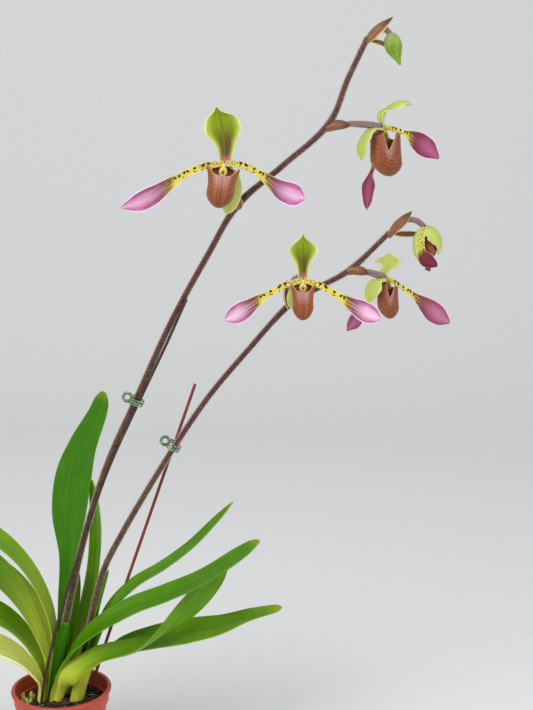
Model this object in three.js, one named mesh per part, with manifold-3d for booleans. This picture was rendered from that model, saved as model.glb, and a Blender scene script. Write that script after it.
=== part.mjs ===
// Potted slipper orchid (Paphiopedilum lowii) in a 9 cm nursery pot.
// Millimetres, +Z up, origin at the middle of the pot's base. The blooms look towards -Y.
import * as THREE from "three";
import { mergeVertices } from "three/addons/utils/BufferGeometryUtils.js";
import Module from "manifold-3d";

const wasm = await Module();
wasm.setup();

// Driving sizes of the pot and its filling
const POT_HEIGHT = 80;
const LIP_RADIUS = 45;
const LIP_HEIGHT = 3;
const COLLAR_RADIUS = 42.8;
const COLLAR_HEIGHT = 13.5;
const BODY_RADIUS = 40.6;
const BASE_RADIUS = 32;
const POT_WALL = 1.3;
const FLOOR_THICKNESS = 1.6;
const DRAIN_HOLES = 8;
const DRAIN_RADIUS = 3;
const DRAIN_CIRCLE = 24;
const MIX_HEIGHT = 66;
const MIX_MOUND = 1.8;
const POCKET_FLOOR = 56;

// Clearance between pieces that touch
const GAP = 0.3;

// The two growths: where their middle crosses the pocket floor, and how far they lean each mm up
const GROWTH_1 = { x: -10.5, y: 1, lean: 0.17, pocket: 15.2 };
const GROWTH_2 = { x: 7.7, y: 7, lean: 0.22, pocket: 14.5 };

const LEAF_THICKNESS = 1;
const SEPAL_THICKNESS = 0.9;
const PETAL_THICKNESS = 0.8;
const BRACT_THICKNESS = 0.8;
const LEAF_ROWS = 12;

// Depth and wall of a full-size pouch
const LIP_DEPTH = 42;
const LIP_WALL = 1;

// The stakes, and the green wire clips: loops round scape and stake, with a small coil as handle
const STAKE_RADIUS = 1.5;
const STAKE_FOOT = 20;
const CLIP_WIRE = 0.65;
const CLIP_LOOPS = 3;
const CLIP_PITCH = 3.1;
const CLIP_RADIUS = 6.1;
const COIL_RADIUS = 3.5;
const COIL_WIDTH = 2.5;
const COIL_TURNS = 9;

const COLOURS = {
  pot: 0xb04230,
  mix: 0x2c1c14,
  leaf: 0x4a8f12,
  oldLeaf: 0xd8c860,
  sheath: 0x3f7a12,
  scape: 0x5a3022,
  stake1: 0x3a2a1c,
  stake2: 0x8c3a2c,
  clip: 0x3f7a48,
  sepal: 0xa8bc30,
  petal: 0xd98ab4,
  lip: 0x96502c,
  column: 0xe6d45c,
  ovary: 0x87737a,
  bud: 0x86ad34,
};

const plant = new THREE.Group();

function addPiece(name, geometry, colour, roughness = 0.5) {
  const material = new THREE.MeshStandardMaterial({ color: colour, roughness });
  const mesh = new THREE.Mesh(geometry, material);
  mesh.name = name;
  plant.add(mesh);
}

// Keeps only the merged positions, drops triangles with no area and turns the faces outwards
function closedShell(geometry) {
  geometry.deleteAttribute("normal");
  geometry.deleteAttribute("uv");
  const merged = mergeVertices(geometry, 1e-4);
  const index = Array.from(merged.index.array);
  const kept = [];
  for (let i = 0; i < index.length; i += 3) {
    const [a, b, c] = index.slice(i, i + 3);
    if (a !== b && b !== c && c !== a) {
      kept.push(a, b, c);
    }
  }
  const position = merged.getAttribute("position");
  const corner = [new THREE.Vector3(), new THREE.Vector3(), new THREE.Vector3()];
  let volume = 0;
  for (let i = 0; i < kept.length; i += 3) {
    corner.forEach((point, k) => point.fromBufferAttribute(position, kept[i + k]));
    volume += corner[0].dot(corner[1].clone().cross(corner[2]));
  }
  if (volume < 0) {
    kept.reverse();
  }
  merged.setIndex(kept);
  return merged;
}

function toSolid(geometry) {
  const shell = closedShell(geometry);
  const vertProperties = Float32Array.from(shell.getAttribute("position").array);
  const triVerts = Uint32Array.from(shell.index.array);
  return new wasm.Manifold(new wasm.Mesh({ numProp: 3, vertProperties, triVerts }));
}

function toGeometry(solid) {
  const mesh = solid.getMesh();
  const geometry = new THREE.BufferGeometry();
  geometry.setAttribute("position", new THREE.BufferAttribute(mesh.vertProperties, 3));
  geometry.setIndex(Array.from(mesh.triVerts));
  return geometry;
}

function join(geometries) {
  return toGeometry(geometries.map(toSolid).reduce((sum, solid) => sum.add(solid)));
}

function cut(geometry, tools) {
  return toGeometry(tools.map(toSolid).reduce((rest, tool) => rest.subtract(tool), toSolid(geometry)));
}

// A smooth run through evenly spaced rows of numbers, t from 0 to 1
function glide(rows, t) {
  const last = rows.length - 1;
  const place = THREE.MathUtils.clamp(t, 0, 1) * last;
  const i = Math.min(Math.floor(place), last - 1);
  const f = place - i;
  return rows[0].map((_, k) => {
    const b = rows[i][k];
    const c = rows[i + 1][k];
    const a = i > 0 ? rows[i - 1][k] : 2 * b - c;
    const d = i + 2 <= last ? rows[i + 2][k] : 2 * c - b;
    const bend = (2 * a - 5 * b + 4 * c - d) * f * f + (3 * b - a - 3 * c + d) * f * f * f;
    return b + 0.5 * ((c - a) * f + bend);
  });
}

function glideNumber(values, t) {
  return glide(values.map((value) => [value]), t)[0];
}

function glideVector(rows, t) {
  return new THREE.Vector3(...glide(rows, t));
}

function direction(path, t) {
  const step = 0.004;
  const ahead = glideVector(path, Math.min(t + step, 1));
  return ahead.sub(glideVector(path, Math.max(t - step, 0))).normalize();
}

// One point of a leaf-like blade. across runs from -1 to 1 and t from its foot to its tip;
// the section is an arc of half angle wrap, hollow on the blade's upper face.
function bladePoint(blade, across, t, lift) {
  const run = direction(blade.spine, t);
  const side = glideVector(blade.side, t);
  side.addScaledVector(run, -side.dot(run)).normalize();
  const up = run.clone().cross(side);
  const half = Math.max(glideNumber(blade.half, t), 0.5);
  const wrap = glideNumber(blade.wrap, t);
  const bend = Math.abs(wrap) < 0.02 ? 0.02 : wrap;
  const radius = half / bend;
  const turn = bend * across;
  const edge = Math.abs(across) ** 3;
  const waves = Math.PI * 2 * (blade.waves ?? 0) * t + (across > 0 ? 0 : 2);
  const ripple = (blade.ripple ?? 0) * edge * Math.sin(waves) * Math.min(1, 6 * t);
  const keel = (blade.keel ?? 0) * half * (Math.abs(across) - 1);
  const point = glideVector(blade.spine, t);
  point.addScaledVector(side, radius * Math.sin(turn) - lift * Math.sin(turn));
  point.addScaledVector(up, radius * (1 - Math.cos(turn)) + lift * Math.cos(turn) + ripple + keel);
  return point;
}

// A closed blade: the same grid on both faces with the same diagonals, and a wall round its edge
function bladeGeometry(blade, columns = 4, rows = 14) {
  const positions = [];
  const index = [];
  const row = columns + 1;
  const face = row * (rows + 1);
  for (const lift of [-blade.thick / 2, blade.thick / 2]) {
    for (let j = 0; j <= rows; j++) {
      for (let i = 0; i <= columns; i++) {
        positions.push(...bladePoint(blade, (2 * i) / columns - 1, j / rows, lift));
      }
    }
  }
  for (let j = 0; j < rows; j++) {
    for (let i = 0; i < columns; i++) {
      const a = j * row + i;
      index.push(a, a + 1, a + row, a + 1, a + row + 1, a + row);
      index.push(a + face, a + row + face, a + 1 + face, a + 1 + face, a + row + face, a + row + 1 + face);
    }
    const left = j * row;
    const right = j * row + columns;
    index.push(left, left + row, left + face, left + row, left + row + face, left + face);
    index.push(right, right + face, right + row, right + row, right + face, right + row + face);
  }
  for (let i = 0; i < columns; i++) {
    const tip = rows * row + i;
    index.push(i, i + face, i + 1, i + 1, i + face, i + 1 + face);
    index.push(tip, tip + 1, tip + face, tip + 1, tip + 1 + face, tip + face);
  }
  const geometry = new THREE.BufferGeometry();
  geometry.setAttribute("position", new THREE.Float32BufferAttribute(positions, 3));
  geometry.setIndex(index);
  return closedShell(geometry);
}

// A tapered stem: a lathed rod, bent along a path. girth holds rows of place along it and radius.
function stemGeometry(path, girth, sides = 8) {
  const last = girth[girth.length - 1];
  const profile = [[girth[0][0], 0], ...girth, [last[0], 0]].map(([t, r]) => new THREE.Vector2(r, t));
  const geometry = new THREE.LatheGeometry(profile, sides);
  const position = geometry.getAttribute("position");
  const chord = glideVector(path, 1).sub(glideVector(path, 0));
  const alongX = Math.abs(chord.x) >= Math.abs(chord.y);
  const reference = new THREE.Vector3(alongX ? 0 : 1, alongX ? 1 : 0, 0);
  for (let i = 0; i < position.count; i++) {
    const t = position.getY(i);
    const run = direction(path, t);
    const side = reference.clone().addScaledVector(run, -reference.dot(run)).normalize();
    const up = side.clone().cross(run);
    const point = glideVector(path, t);
    point.addScaledVector(side, position.getX(i)).addScaledVector(up, position.getZ(i));
    position.setXYZ(i, point.x, point.y, point.z);
  }
  return closedShell(geometry);
}

// Lifts what would reach below a level up to it, so a leaning foot ends flat
function standOn(geometry, level) {
  const position = geometry.getAttribute("position");
  for (let i = 0; i < position.count; i++) {
    position.setZ(i, Math.max(position.getZ(i), level));
  }
  return geometry;
}

// Rows of a stem's girth with a swelling at each node
function scapeGirth(rings, foot, top, nodes, swelling) {
  const rows = [];
  for (let i = 0; i <= rings; i++) {
    const t = i / rings;
    const near = Math.max(0, ...nodes.map((node) => 1 - Math.abs(t - node) * rings));
    rows.push([t, THREE.MathUtils.lerp(foot, top, t) + swelling * near]);
  }
  return rows;
}

// Pot

function potGeometry() {
  const step = POT_HEIGHT - COLLAR_HEIGHT;
  const outline = [
    [0, 0],
    [BASE_RADIUS - 1, 0],
    [BASE_RADIUS, 1],
    [BODY_RADIUS, step - 1],
    [COLLAR_RADIUS - 0.6, step],
    [COLLAR_RADIUS, POT_HEIGHT - LIP_HEIGHT],
    [LIP_RADIUS - 0.6, POT_HEIGHT - LIP_HEIGHT],
    [LIP_RADIUS, POT_HEIGHT - LIP_HEIGHT + 0.7],
    [LIP_RADIUS, POT_HEIGHT - 0.9],
    [LIP_RADIUS - 0.9, POT_HEIGHT],
    [COLLAR_RADIUS - POT_WALL + 0.7, POT_HEIGHT],
    [COLLAR_RADIUS - POT_WALL, POT_HEIGHT - 0.7],
    [COLLAR_RADIUS - POT_WALL - 0.6, step + POT_WALL],
    [BODY_RADIUS - POT_WALL, step + POT_WALL - 0.4],
    [BASE_RADIUS - POT_WALL, FLOOR_THICKNESS],
    [0, FLOOR_THICKNESS],
  ];
  const points = outline.map(([radius, height]) => new THREE.Vector2(radius, height));
  const body = new THREE.LatheGeometry(points, 32).rotateX(Math.PI / 2);
  const holes = [];
  for (let i = 0; i < DRAIN_HOLES; i++) {
    const angle = (i / DRAIN_HOLES) * Math.PI * 2;
    const hole = new THREE.CylinderGeometry(DRAIN_RADIUS, DRAIN_RADIUS, 8, 8).rotateX(Math.PI / 2);
    hole.translate(DRAIN_CIRCLE * Math.cos(angle), DRAIN_CIRCLE * Math.sin(angle), 0);
    holes.push(hole);
  }
  return cut(body, holes);
}

// Radius of the pot's inner wall at a height below the collar
function innerRadius(height) {
  const share = (height - FLOOR_THICKNESS) / (POT_HEIGHT - COLLAR_HEIGHT - FLOOR_THICKNESS);
  return THREE.MathUtils.lerp(BASE_RADIUS, BODY_RADIUS, share) - POT_WALL;
}

function mixGeometry() {
  const bottom = FLOOR_THICKNESS + GAP;
  const outline = [
    [0, bottom],
    [innerRadius(bottom) - GAP - 0.2, bottom],
    [innerRadius(MIX_HEIGHT - 2) - GAP - 0.1, MIX_HEIGHT - 2],
    [innerRadius(MIX_HEIGHT) - 1.6, MIX_HEIGHT - 1],
    [31, MIX_HEIGHT],
    [24, MIX_HEIGHT + MIX_MOUND * 0.5],
    [16, MIX_HEIGHT + MIX_MOUND * 0.8],
    [8, MIX_HEIGHT + MIX_MOUND],
    [0, MIX_HEIGHT + MIX_MOUND],
  ];
  const points = outline.map(([radius, height]) => new THREE.Vector2(radius, height));
  const body = new THREE.LatheGeometry(points, 24).rotateX(Math.PI / 2);
  const position = body.getAttribute("position");
  for (let i = 0; i < position.count; i++) {
    const x = position.getX(i);
    const y = position.getY(i);
    const z = position.getZ(i);
    if (z > MIX_HEIGHT - 1.5) {
      const lumps = 0.8 * Math.sin(0.61 * x + 1.3) * Math.sin(0.47 * y - 0.4);
      const ripples = 0.5 * Math.sin(0.9 * y + 0.3 * x);
      position.setZ(i, z + (lumps + ripples) * Math.min(1, Math.hypot(x, y) / 4));
    }
  }
  const tools = [GROWTH_1, GROWTH_2].map(({ x, y, lean, pocket }) => {
    const tool = new THREE.CylinderGeometry(pocket, pocket, 30, 20).rotateX(Math.PI / 2);
    return tool.translate(x + 6 * lean, y, POCKET_FLOOR + 15);
  });
  for (const { path, radius, buried } of [STAKE_1, STAKE_2]) {
    const bore = radius + 2 * GAP;
    const hole = stemGeometry(path, [[0, bore], [buried / 2, bore], [buried, bore]], 8);
    tools.push(hole.translate(0, 0, -GAP));
  }
  return cut(body, tools);
}

// Leaves. Each starts on a ring round its growth, hollow face inwards, then follows its own spine.

function leafFoot(growth, degrees, ring, height) {
  const angle = THREE.MathUtils.degToRad(degrees);
  const middle = growth.x + growth.lean * (height - POCKET_FLOOR);
  return [middle + ring * Math.cos(angle), growth.y + ring * Math.sin(angle), height];
}

function leafSide(degrees) {
  const angle = THREE.MathUtils.degToRad(degrees);
  return [-Math.sin(angle), Math.cos(angle), 0];
}

const LEAVES = [
  {
    name: "leaf_tall",
    growth: GROWTH_1,
    degrees: 62,
    ring: 6,
    spine: [[1.4, 6.4, 116], [5, 9, 158], [8.2, 13, 200], [9, 17, 238], [13.5, 20, 272], [22.5, 20, 301],
      [36.6, 18, 331], [42.6, 16, 351]],
    side: [[-0.98, 0.1, 0], [-1, 0, 0], [-1, 0.05, 0.05], [-1, 0.1, 0.1]],
    half: [5.2, 5.4, 6, 7.4, 8.6, 14.6, 15.4, 12, 7.6, 2],
    wrap: [0.86, 0.86, 0.9, 0.8, 0.6, 0.4, 0.3, 0.3, 0.3, 0.3],
  },
  {
    name: "leaf_short",
    growth: GROWTH_1,
    degrees: 65,
    ring: 7.6,
    spine: [[3, 11, 112], [9.4, 15.2, 148], [11.6, 20, 176], [11, 22, 190]],
    side: [[-1, 0, 0], [-1, 0, 0]],
    half: [4.2, 4.8, 6.6, 8.6, 7.6, 2],
    wrap: [0.55, 0.55, 0.7, 0.6, 0.4, 0.3],
  },
  {
    name: "leaf_narrow",
    growth: GROWTH_2,
    degrees: 130,
    ring: 7.2,
    spine: [[15.4, 18, 115], [22.8, 21.6, 150], [29.4, 23, 186], [32.4, 22.6, 222], [31.4, 21, 252],
      [30, 20, 269]],
    side: [[-0.97, 0.25, 0], [-0.88, 0.45, -0.1], [-0.75, 0.62, -0.2], [-0.7, 0.7, -0.1]],
    half: [5.4, 5.6, 6.6, 8.2, 8.8, 8.4, 6, 1.2],
    wrap: [0.75, 0.75, 0.8, 0.7, 0.6, 0.4, 0.3, 0.3],
  },
  {
    name: "leaf_right_1",
    growth: GROWTH_2,
    degrees: 12,
    ring: 8.8,
    spine: [[31.4, 7.6, 116], [46, 7, 150], [68, 8.4, 174], [94, 12, 190], [120, 17, 209], [142, 21, 231],
      [156, 24, 247]],
    side: [[-0.3, 0.95, 0], [-0.36, 0.93, -0.04], [-0.34, 0.94, -0.07], [-0.37, 0.93, -0.04]],
    half: [7.2, 7.6, 8.8, 10.6, 11.4, 11, 10, 7, 1.2],
    wrap: [0.8, 0.8, 0.8, 0.7, 0.5, 0.4, 0.4, 0.5, 0.6],
  },
  {
    name: "leaf_right_2",
    growth: GROWTH_1,
    degrees: -46,
    ring: 6.2,
    spine: [[8, -6.6, 108], [32, -12, 137], [66, -17, 161], [98, -21, 176], [130, -25, 192], [160, -28, 213],
      [180.6, -31, 229.4]],
    side: [[0.3, 0.9, 0.1], [-0.3, 0.93, 0.15], [-0.35, 0.92, 0.1], [-0.25, 0.96, 0.1], [-0.33, 0.93, 0.17]],
    half: [5.2, 5.8, 8, 12, 13.6, 14, 13.6, 11.4, 4],
    wrap: [0.82, 0.82, 0.85, 0.7, 0.5, 0.35, 0.3, 0.3, 0.3],
  },
  {
    name: "leaf_right_3",
    growth: GROWTH_1,
    degrees: -54,
    ring: 8.4,
    spine: [[7.4, -14.4, 96], [36, -21, 117], [72, -22, 126], [97, -19, 140], [119, -14, 161], [139, -9, 184],
      [152, -6, 199]],
    side: [[0.7, 0.75, 0.1], [0, 0.96, 0.2], [0, 0.97, 0.05], [0.5, 0.7, -0.35], [0.75, 0.3, -0.55],
      [0.78, 0.1, -0.6]],
    half: [5.6, 6.4, 9.4, 13, 14, 13.6, 12.6, 9.6, 2],
    wrap: [0.68, 0.68, 0.8, 0.8, 0.7, 0.5, 0.4, 0.4, 0.4],
  },
  {
    name: "leaf_right_4",
    growth: GROWTH_2,
    degrees: -64,
    ring: 10.8,
    spine: [[27, -5.4, 98], [54, -1, 116], [84, 3, 125], [116, 5, 131], [146, 4, 137.6], [173, 1, 149],
      [200, -4, 158]],
    side: [[0.8, 0.6, 0.1], [0.1, 0.95, 0.3], [-0.05, 0.88, 0.45], [0.05, 0.85, 0.5], [0, 0.3, 0.95]],
    half: [6.6, 7.4, 9.6, 13.6, 15, 14.6, 11.6, 6.2, 3],
    wrap: [0.6, 0.6, 0.65, 0.5, 0.3, 0.25, 0.25, 0.4, 0.5],
  },
  {
    name: "leaf_left_1",
    growth: GROWTH_1,
    degrees: 165,
    ring: 6.4,
    spine: [[-7.8, 5.8, 112], [-12, 8, 150], [-29, 11, 186], [-55, 14, 214], [-88, 17, 230], [-122, 20, 232],
      [-154, 22, 221]],
    side: [[-0.2, -0.96, -0.1], [-0.2, -0.96, -0.1], [0.05, -0.96, -0.2], [0.1, -0.96, -0.2], [0, -1, 0]],
    half: [5, 5.2, 6.4, 9, 12.6, 15.4, 15.4, 12, 2.5],
    wrap: [0.8, 0.8, 0.75, 0.6, 0.5, 0.35, 0.3, 0.3, 0.3],
  },
  {
    name: "leaf_left_2",
    growth: GROWTH_1,
    degrees: 193,
    ring: 9.4,
    spine: [[-13.4, -6.2, 112], [-24, -13, 150], [-41, -18, 184], [-64, -22, 208], [-92, -28, 222],
      [-122, -34, 224], [-150, -40, 213]],
    side: [[-0.05, -0.98, -0.1], [-0.06, -0.97, -0.2], [0, -0.93, -0.35], [0.05, -0.95, -0.3],
      [0, -0.97, -0.2]],
    half: [5, 5.4, 7.6, 13.4, 18, 18.5, 17.5, 13, 3],
    wrap: [0.53, 0.53, 0.6, 0.5, 0.4, 0.3, 0.25, 0.25, 0.25],
  },
  {
    name: "leaf_left_3",
    growth: GROWTH_1,
    degrees: 194,
    ring: 11,
    spine: [[-17.6, -7, 102], [-31, -13, 134], [-51, -20, 156], [-78, -27, 169], [-108, -34, 169],
      [-140, -42, 154]],
    side: [[0, -0.98, -0.1], [0, -0.97, -0.2], [0.15, -0.93, -0.3], [0.1, -0.95, -0.2], [0, -0.98, -0.1]],
    half: [5.4, 6.2, 9.6, 14.4, 17, 16.5, 12, 2.5],
    wrap: [0.48, 0.48, 0.5, 0.5, 0.45, 0.35, 0.35, 0.35],
  },
  {
    name: "leaf_left_4",
    growth: GROWTH_1,
    degrees: 192,
    ring: 12.6,
    spine: [[-22.6, -5.6, 93], [-40, -10, 113], [-66, -16, 127], [-94, -22, 127], [-122, -28, 112],
      [-142, -32, 92]],
    side: [[0.1, -0.97, -0.1], [0.2, -0.93, -0.25], [0.15, -0.93, -0.3], [0, -0.98, -0.1], [0, -1, 0]],
    half: [5, 6, 9, 13, 14.6, 13.5, 9, 2],
    wrap: [0.4, 0.4, 0.55, 0.8, 0.9, 0.8, 0.7, 0.7],
    keel: 0.15,
    colour: COLOURS.oldLeaf,
  },
  {
    name: "leaf_left_5",
    growth: GROWTH_1,
    degrees: 128,
    ring: 8.3,
    spine: [[-11, 11.6, 106], [-18.6, 15, 136], [-32, 18, 163], [-52, 20, 184], [-78, 24, 195],
      [-104, 28, 194]],
    side: [[-0.6, -0.8, -0.1], [-0.2, -0.96, -0.1], [0.1, -0.96, -0.2], [0.1, -0.97, -0.1]],
    half: [4, 4.2, 6, 8.4, 10.4, 10.5, 7, 1.5],
    wrap: [0.48, 0.48, 0.6, 0.6, 0.5, 0.4, 0.4, 0.4],
  },
  {
    name: "sheath_1",
    growth: GROWTH_1,
    degrees: -92,
    ring: 4.4,
    spine: [[-3.8, -3.8, 97], [-0.2, -4.4, 115], [3.6, -5, 131], [6.4, -5, 144]],
    side: [[1, 0, 0], [1, 0, 0]],
    half: [4, 4.2, 4.6, 5, 4.6, 2],
    wrap: [0.9, 0.9, 0.95, 1, 0.9, 0.8],
    colour: COLOURS.sheath,
  },
  {
    name: "sheath_2",
    growth: GROWTH_2,
    degrees: 0,
    ring: 4.5,
    spine: [[23, 7.4, 104], [29.4, 8.4, 130], [35.4, 9.6, 156], [41.6, 11, 178], [43.8, 11.6, 187]],
    side: [[-0.15, 0.98, 0], [-0.3, 0.95, -0.1], [-0.35, 0.93, -0.1]],
    half: [4.6, 5, 6, 6.4, 5.6, 3.6, 1.2],
    wrap: [1.02, 1.02, 1.1, 1.2, 1.1, 1, 0.8],
    colour: COLOURS.sheath,
  },
];

function addLeaves() {
  for (const leaf of LEAVES) {
    const { name, growth, degrees, ring, colour = COLOURS.leaf } = leaf;
    const foot = [POCKET_FLOOR + GAP, POCKET_FLOOR + 24].map((z) => leafFoot(growth, degrees, ring, z));
    const blade = {
      ...leaf,
      spine: [...foot, ...leaf.spine],
      side: [leafSide(degrees), ...leaf.side],
      thick: LEAF_THICKNESS,
    };
    addPiece(name, standOn(bladeGeometry(blade, 4, LEAF_ROWS), POCKET_FLOOR + GAP), colour, 0.35);
  }
}

// Scapes with the bracts that grow from them

const SCAPE_1 = {
  path: [[-10.4, 1, 57], [-2.8, 0.6, 105], [8.4, 0, 155], [24, 0, 220], [46, 0, 288], [74, 0, 350],
    [104, 0, 415], [136, 0, 473], [162, 0, 516], [199, 0, 548], [238, 0, 583], [254, 0, 620], [270, 0, 654]],
  foot: 2.7,
  top: 2.2,
  nodes: [8 / 12, 10 / 12],
  bracts: [
    {
      spine: [[162, -2, 512], [162, -6.6, 515.6], [160.6, -10.4, 520.4], [158, -13, 526]],
      side: [[1, 0.1, 0.1], [1, 0.1, 0.2]],
      half: [4.5, 5.5, 4.6, 1.2],
      wrap: [1, 0.9, 0.8, 0.8],
    },
    {
      spine: [[237, 0, 579], [243, 1.4, 578.8], [251, 3.8, 580.2], [261, 7, 581.6]],
      side: [[-0.2, 1, 0], [-0.3, 1, 0]],
      half: [4, 6, 5, 1.2],
      wrap: [1.1, 1.2, 1, 0.8],
    },
    {
      spine: [[268.4, 0, 649], [270.4, 0, 659], [278, 0, 667], [290.6, 0, 671.4]],
      side: [[0, -1, 0], [0, -1, 0]],
      half: [3.6, 8.4, 7.4, 0.8],
      wrap: [1.3, 1.5, 1.3, 0.8],
    },
    {
      spine: [[269.6, -0.5, 650], [273.4, -2.4, 648.4], [277, -4.4, 646], [280.4, -6.4, 643.4]],
      side: [[0, 0.8, 0.6], [0, 0.8, 0.6]],
      half: [1.8, 2.6, 2.4, 0.8],
      wrap: [0.9, 0.9, 0.8, 0.6],
    },
  ],
};

const SCAPE_2 = {
  path: [[7.9, 7, 57], [18.8, 7.6, 105], [30.6, 8.4, 155], [40.6, 9.2, 190], [58, 10, 224], [80, 10, 262],
    [104, 10, 301], [134, 10, 347], [168, 10, 389], [206, 10, 429], [234, 10, 445.6], [260, 10, 461],
    [292, 10, 492]],
  foot: 2.6,
  top: 2.1,
  nodes: [9 / 12, 11 / 12],
  bracts: [
    {
      spine: [[205, 10, 427], [202.6, 7, 434], [202, 3, 443], [204, -1, 452]],
      side: [[-0.5, -0.8, -0.3], [-0.5, -0.8, -0.3]],
      half: [4, 5.4, 4.6, 1],
      wrap: [1.1, 1.1, 1, 0.8],
    },
    {
      spine: [[259, 10, 457.6], [264, 9.6, 455.6], [269, 9.2, 455.2], [275, 8, 454.6]],
      side: [[-0.1, 1, 0], [-0.1, 1, 0]],
      half: [3, 4.6, 4, 1],
      wrap: [1, 1.1, 1, 0.8],
    },
    {
      spine: [[290, 10, 487.6], [292.4, 10, 498], [299, 10, 505], [309, 9, 511]],
      side: [[0, -1, 0], [0, -1, 0]],
      half: [3, 6, 5.4, 0.8],
      wrap: [1.3, 1.5, 1.3, 0.8],
    },
    {
      spine: [[292, 9.6, 489.4], [298, 8.4, 489.8], [305, 7.2, 489.8], [312.6, 6, 491.4]],
      side: [[0, 0.85, 0.5], [0, 0.85, 0.5]],
      half: [1.8, 2.6, 2.6, 0.8],
      wrap: [0.9, 0.9, 0.8, 0.6],
    },
  ],
};

function scapeGeometry({ path, foot, top, nodes, bracts }) {
  const rings = 2 * (path.length - 1);
  const stem = stemGeometry(path, scapeGirth(rings, foot, top, nodes, 0.5), 7);
  const leaflets = bracts.map((bract) => bladeGeometry({ ...bract, thick: BRACT_THICKNESS }, 4, 4));
  return join([stem, ...leaflets]);
}

// Stakes and the wire clips that hold the scapes to them

const STAKE_1 = {
  path: [[-18.6, -12, STAKE_FOOT], [-16.8, -12.4, 66], [-8.4, -13, 112], [2.2, -10.4, 152], [14, -6.8, 190],
    [28, -5.2, 232], [49.6, -4.9, 290], [79.6, -4.2, 354], [100.6, -4.2, 398], [118, -4.2, 436]],
  radius: STAKE_RADIUS,
  buried: 0.14,
};
const STAKE_2 = {
  path: [[7.6, 20.6, STAKE_FOOT], [41, 21, 121], [82.4, 18, 240], [123.6, 14.6, 358]],
  radius: STAKE_RADIUS,
  buried: 0.2,
};

const CLIPS = [
  { name: "clip_1", scape: SCAPE_1, stake: STAKE_1, height: 346 },
  { name: "clip_2", scape: SCAPE_2, stake: STAKE_2, height: 302 },
];

function stakeGeometry({ path, radius }, rings) {
  const girth = Array.from({ length: rings + 1 }, (_, i) => [i / rings, radius]);
  return stemGeometry(path, girth, 6);
}

// The point where a path reaches a height
function pathAtHeight(path, height) {
  let low = 0;
  let high = 1;
  for (let i = 0; i < 30; i++) {
    const middle = (low + high) / 2;
    if (glide(path, middle)[2] < height) {
      low = middle;
    } else {
      high = middle;
    }
  }
  return { point: glideVector(path, low), run: direction(path, low) };
}

function clipGeometry({ scape, stake, height }) {
  const stem = pathAtHeight(scape.path, height);
  const stick = pathAtHeight(stake.path, height);
  const middle = stem.point.clone().lerp(stick.point, 0.45);
  const run = stem.run;
  const across = new THREE.Vector3(0, -1, 0).cross(run).normalize().negate();
  const depth = run.clone().cross(across);
  const frame = new THREE.Matrix4().makeBasis(across, depth, run).setPosition(middle);
  const parts = [];
  for (let i = 0; i < CLIP_LOOPS; i++) {
    const loop = new THREE.TorusGeometry(1, CLIP_WIRE, 5, 12);
    const position = loop.getAttribute("position");
    for (let k = 0; k < position.count; k++) {
      const angle = Math.atan2(position.getY(k), position.getX(k));
      const outward = Math.hypot(position.getX(k), position.getY(k)) - 1;
      position.setX(k, (CLIP_RADIUS + outward) * Math.cos(angle) - 0.6);
      position.setY(k, (CLIP_RADIUS + outward) * Math.sin(angle));
    }
    parts.push(loop.translate(0, 0, (i - 1) * CLIP_PITCH).applyMatrix4(frame));
  }
  const coil = new THREE.TorusGeometry(COIL_RADIUS, COIL_WIDTH / 2, 5, 2 * COIL_TURNS);
  const position = coil.getAttribute("position");
  for (let k = 0; k < position.count; k++) {
    const angle = Math.atan2(position.getY(k), position.getX(k));
    const rib = 1 + 0.06 * Math.cos(COIL_TURNS * angle);
    position.setX(k, position.getX(k) * rib);
    position.setY(k, position.getY(k) * rib);
  }
  const offset = -(CLIP_RADIUS + CLIP_WIRE + COIL_WIDTH);
  parts.push(coil.rotateX(Math.PI / 2).translate(offset, 0, 0).applyMatrix4(frame));
  return join(parts);
}

// Blooms. A bloom's own frame starts at the end of the ovary: x to its right, z up and -y forward.

const LIP_WIDTH = [10, 11.4, 12.6, 13, 13, 15, 21];
const LIP_REACH = [10.5, 12.6, 13.6, 13.8, 13.8, 14.4, 17];
const LIP_MIDDLE = [7, 5.4, 3, 1.6, 0.9, 0.6, 0.4];
const LIP_RIM = [0.74, 0.75, 0.82, 0.93, 0.6, 0.5, 0.6, 0.8, 0.88, 0.91, 0.92];

function smooth(low, high, value) {
  return THREE.MathUtils.smoothstep(value, low, high);
}

// The pouch of the lip: a hollow cup with two horns in front and a claw at the back
function lipPoint(angle, wallShare, rise) {
  const rim = glideNumber(LIP_RIM, Math.abs(angle) / Math.PI);
  const share = rise * rim;
  const inset = wallShare * LIP_WALL;
  const z = -LIP_DEPTH + LIP_DEPTH * share + inset * (1 - smooth(0, 0.5, share));
  const round = Math.sqrt(1 - (1 - Math.min(share / 0.3, 1)) ** 2);
  const curl = smooth(0.68, 0.94, share) * smooth(-0.1, 0.6, -Math.cos(angle));
  const width = Math.max(glideNumber(LIP_WIDTH, share) * round - inset, 0);
  const reach = Math.max(glideNumber(LIP_REACH, share) * round - inset, 0);
  const x = width * Math.sin(angle) * (1 - 0.5 * curl);
  const forward = glideNumber(LIP_MIDDLE, share) + reach * Math.cos(angle) * (1 - 0.82 * curl);
  return new THREE.Vector3(x, -forward, z);
}

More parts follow.
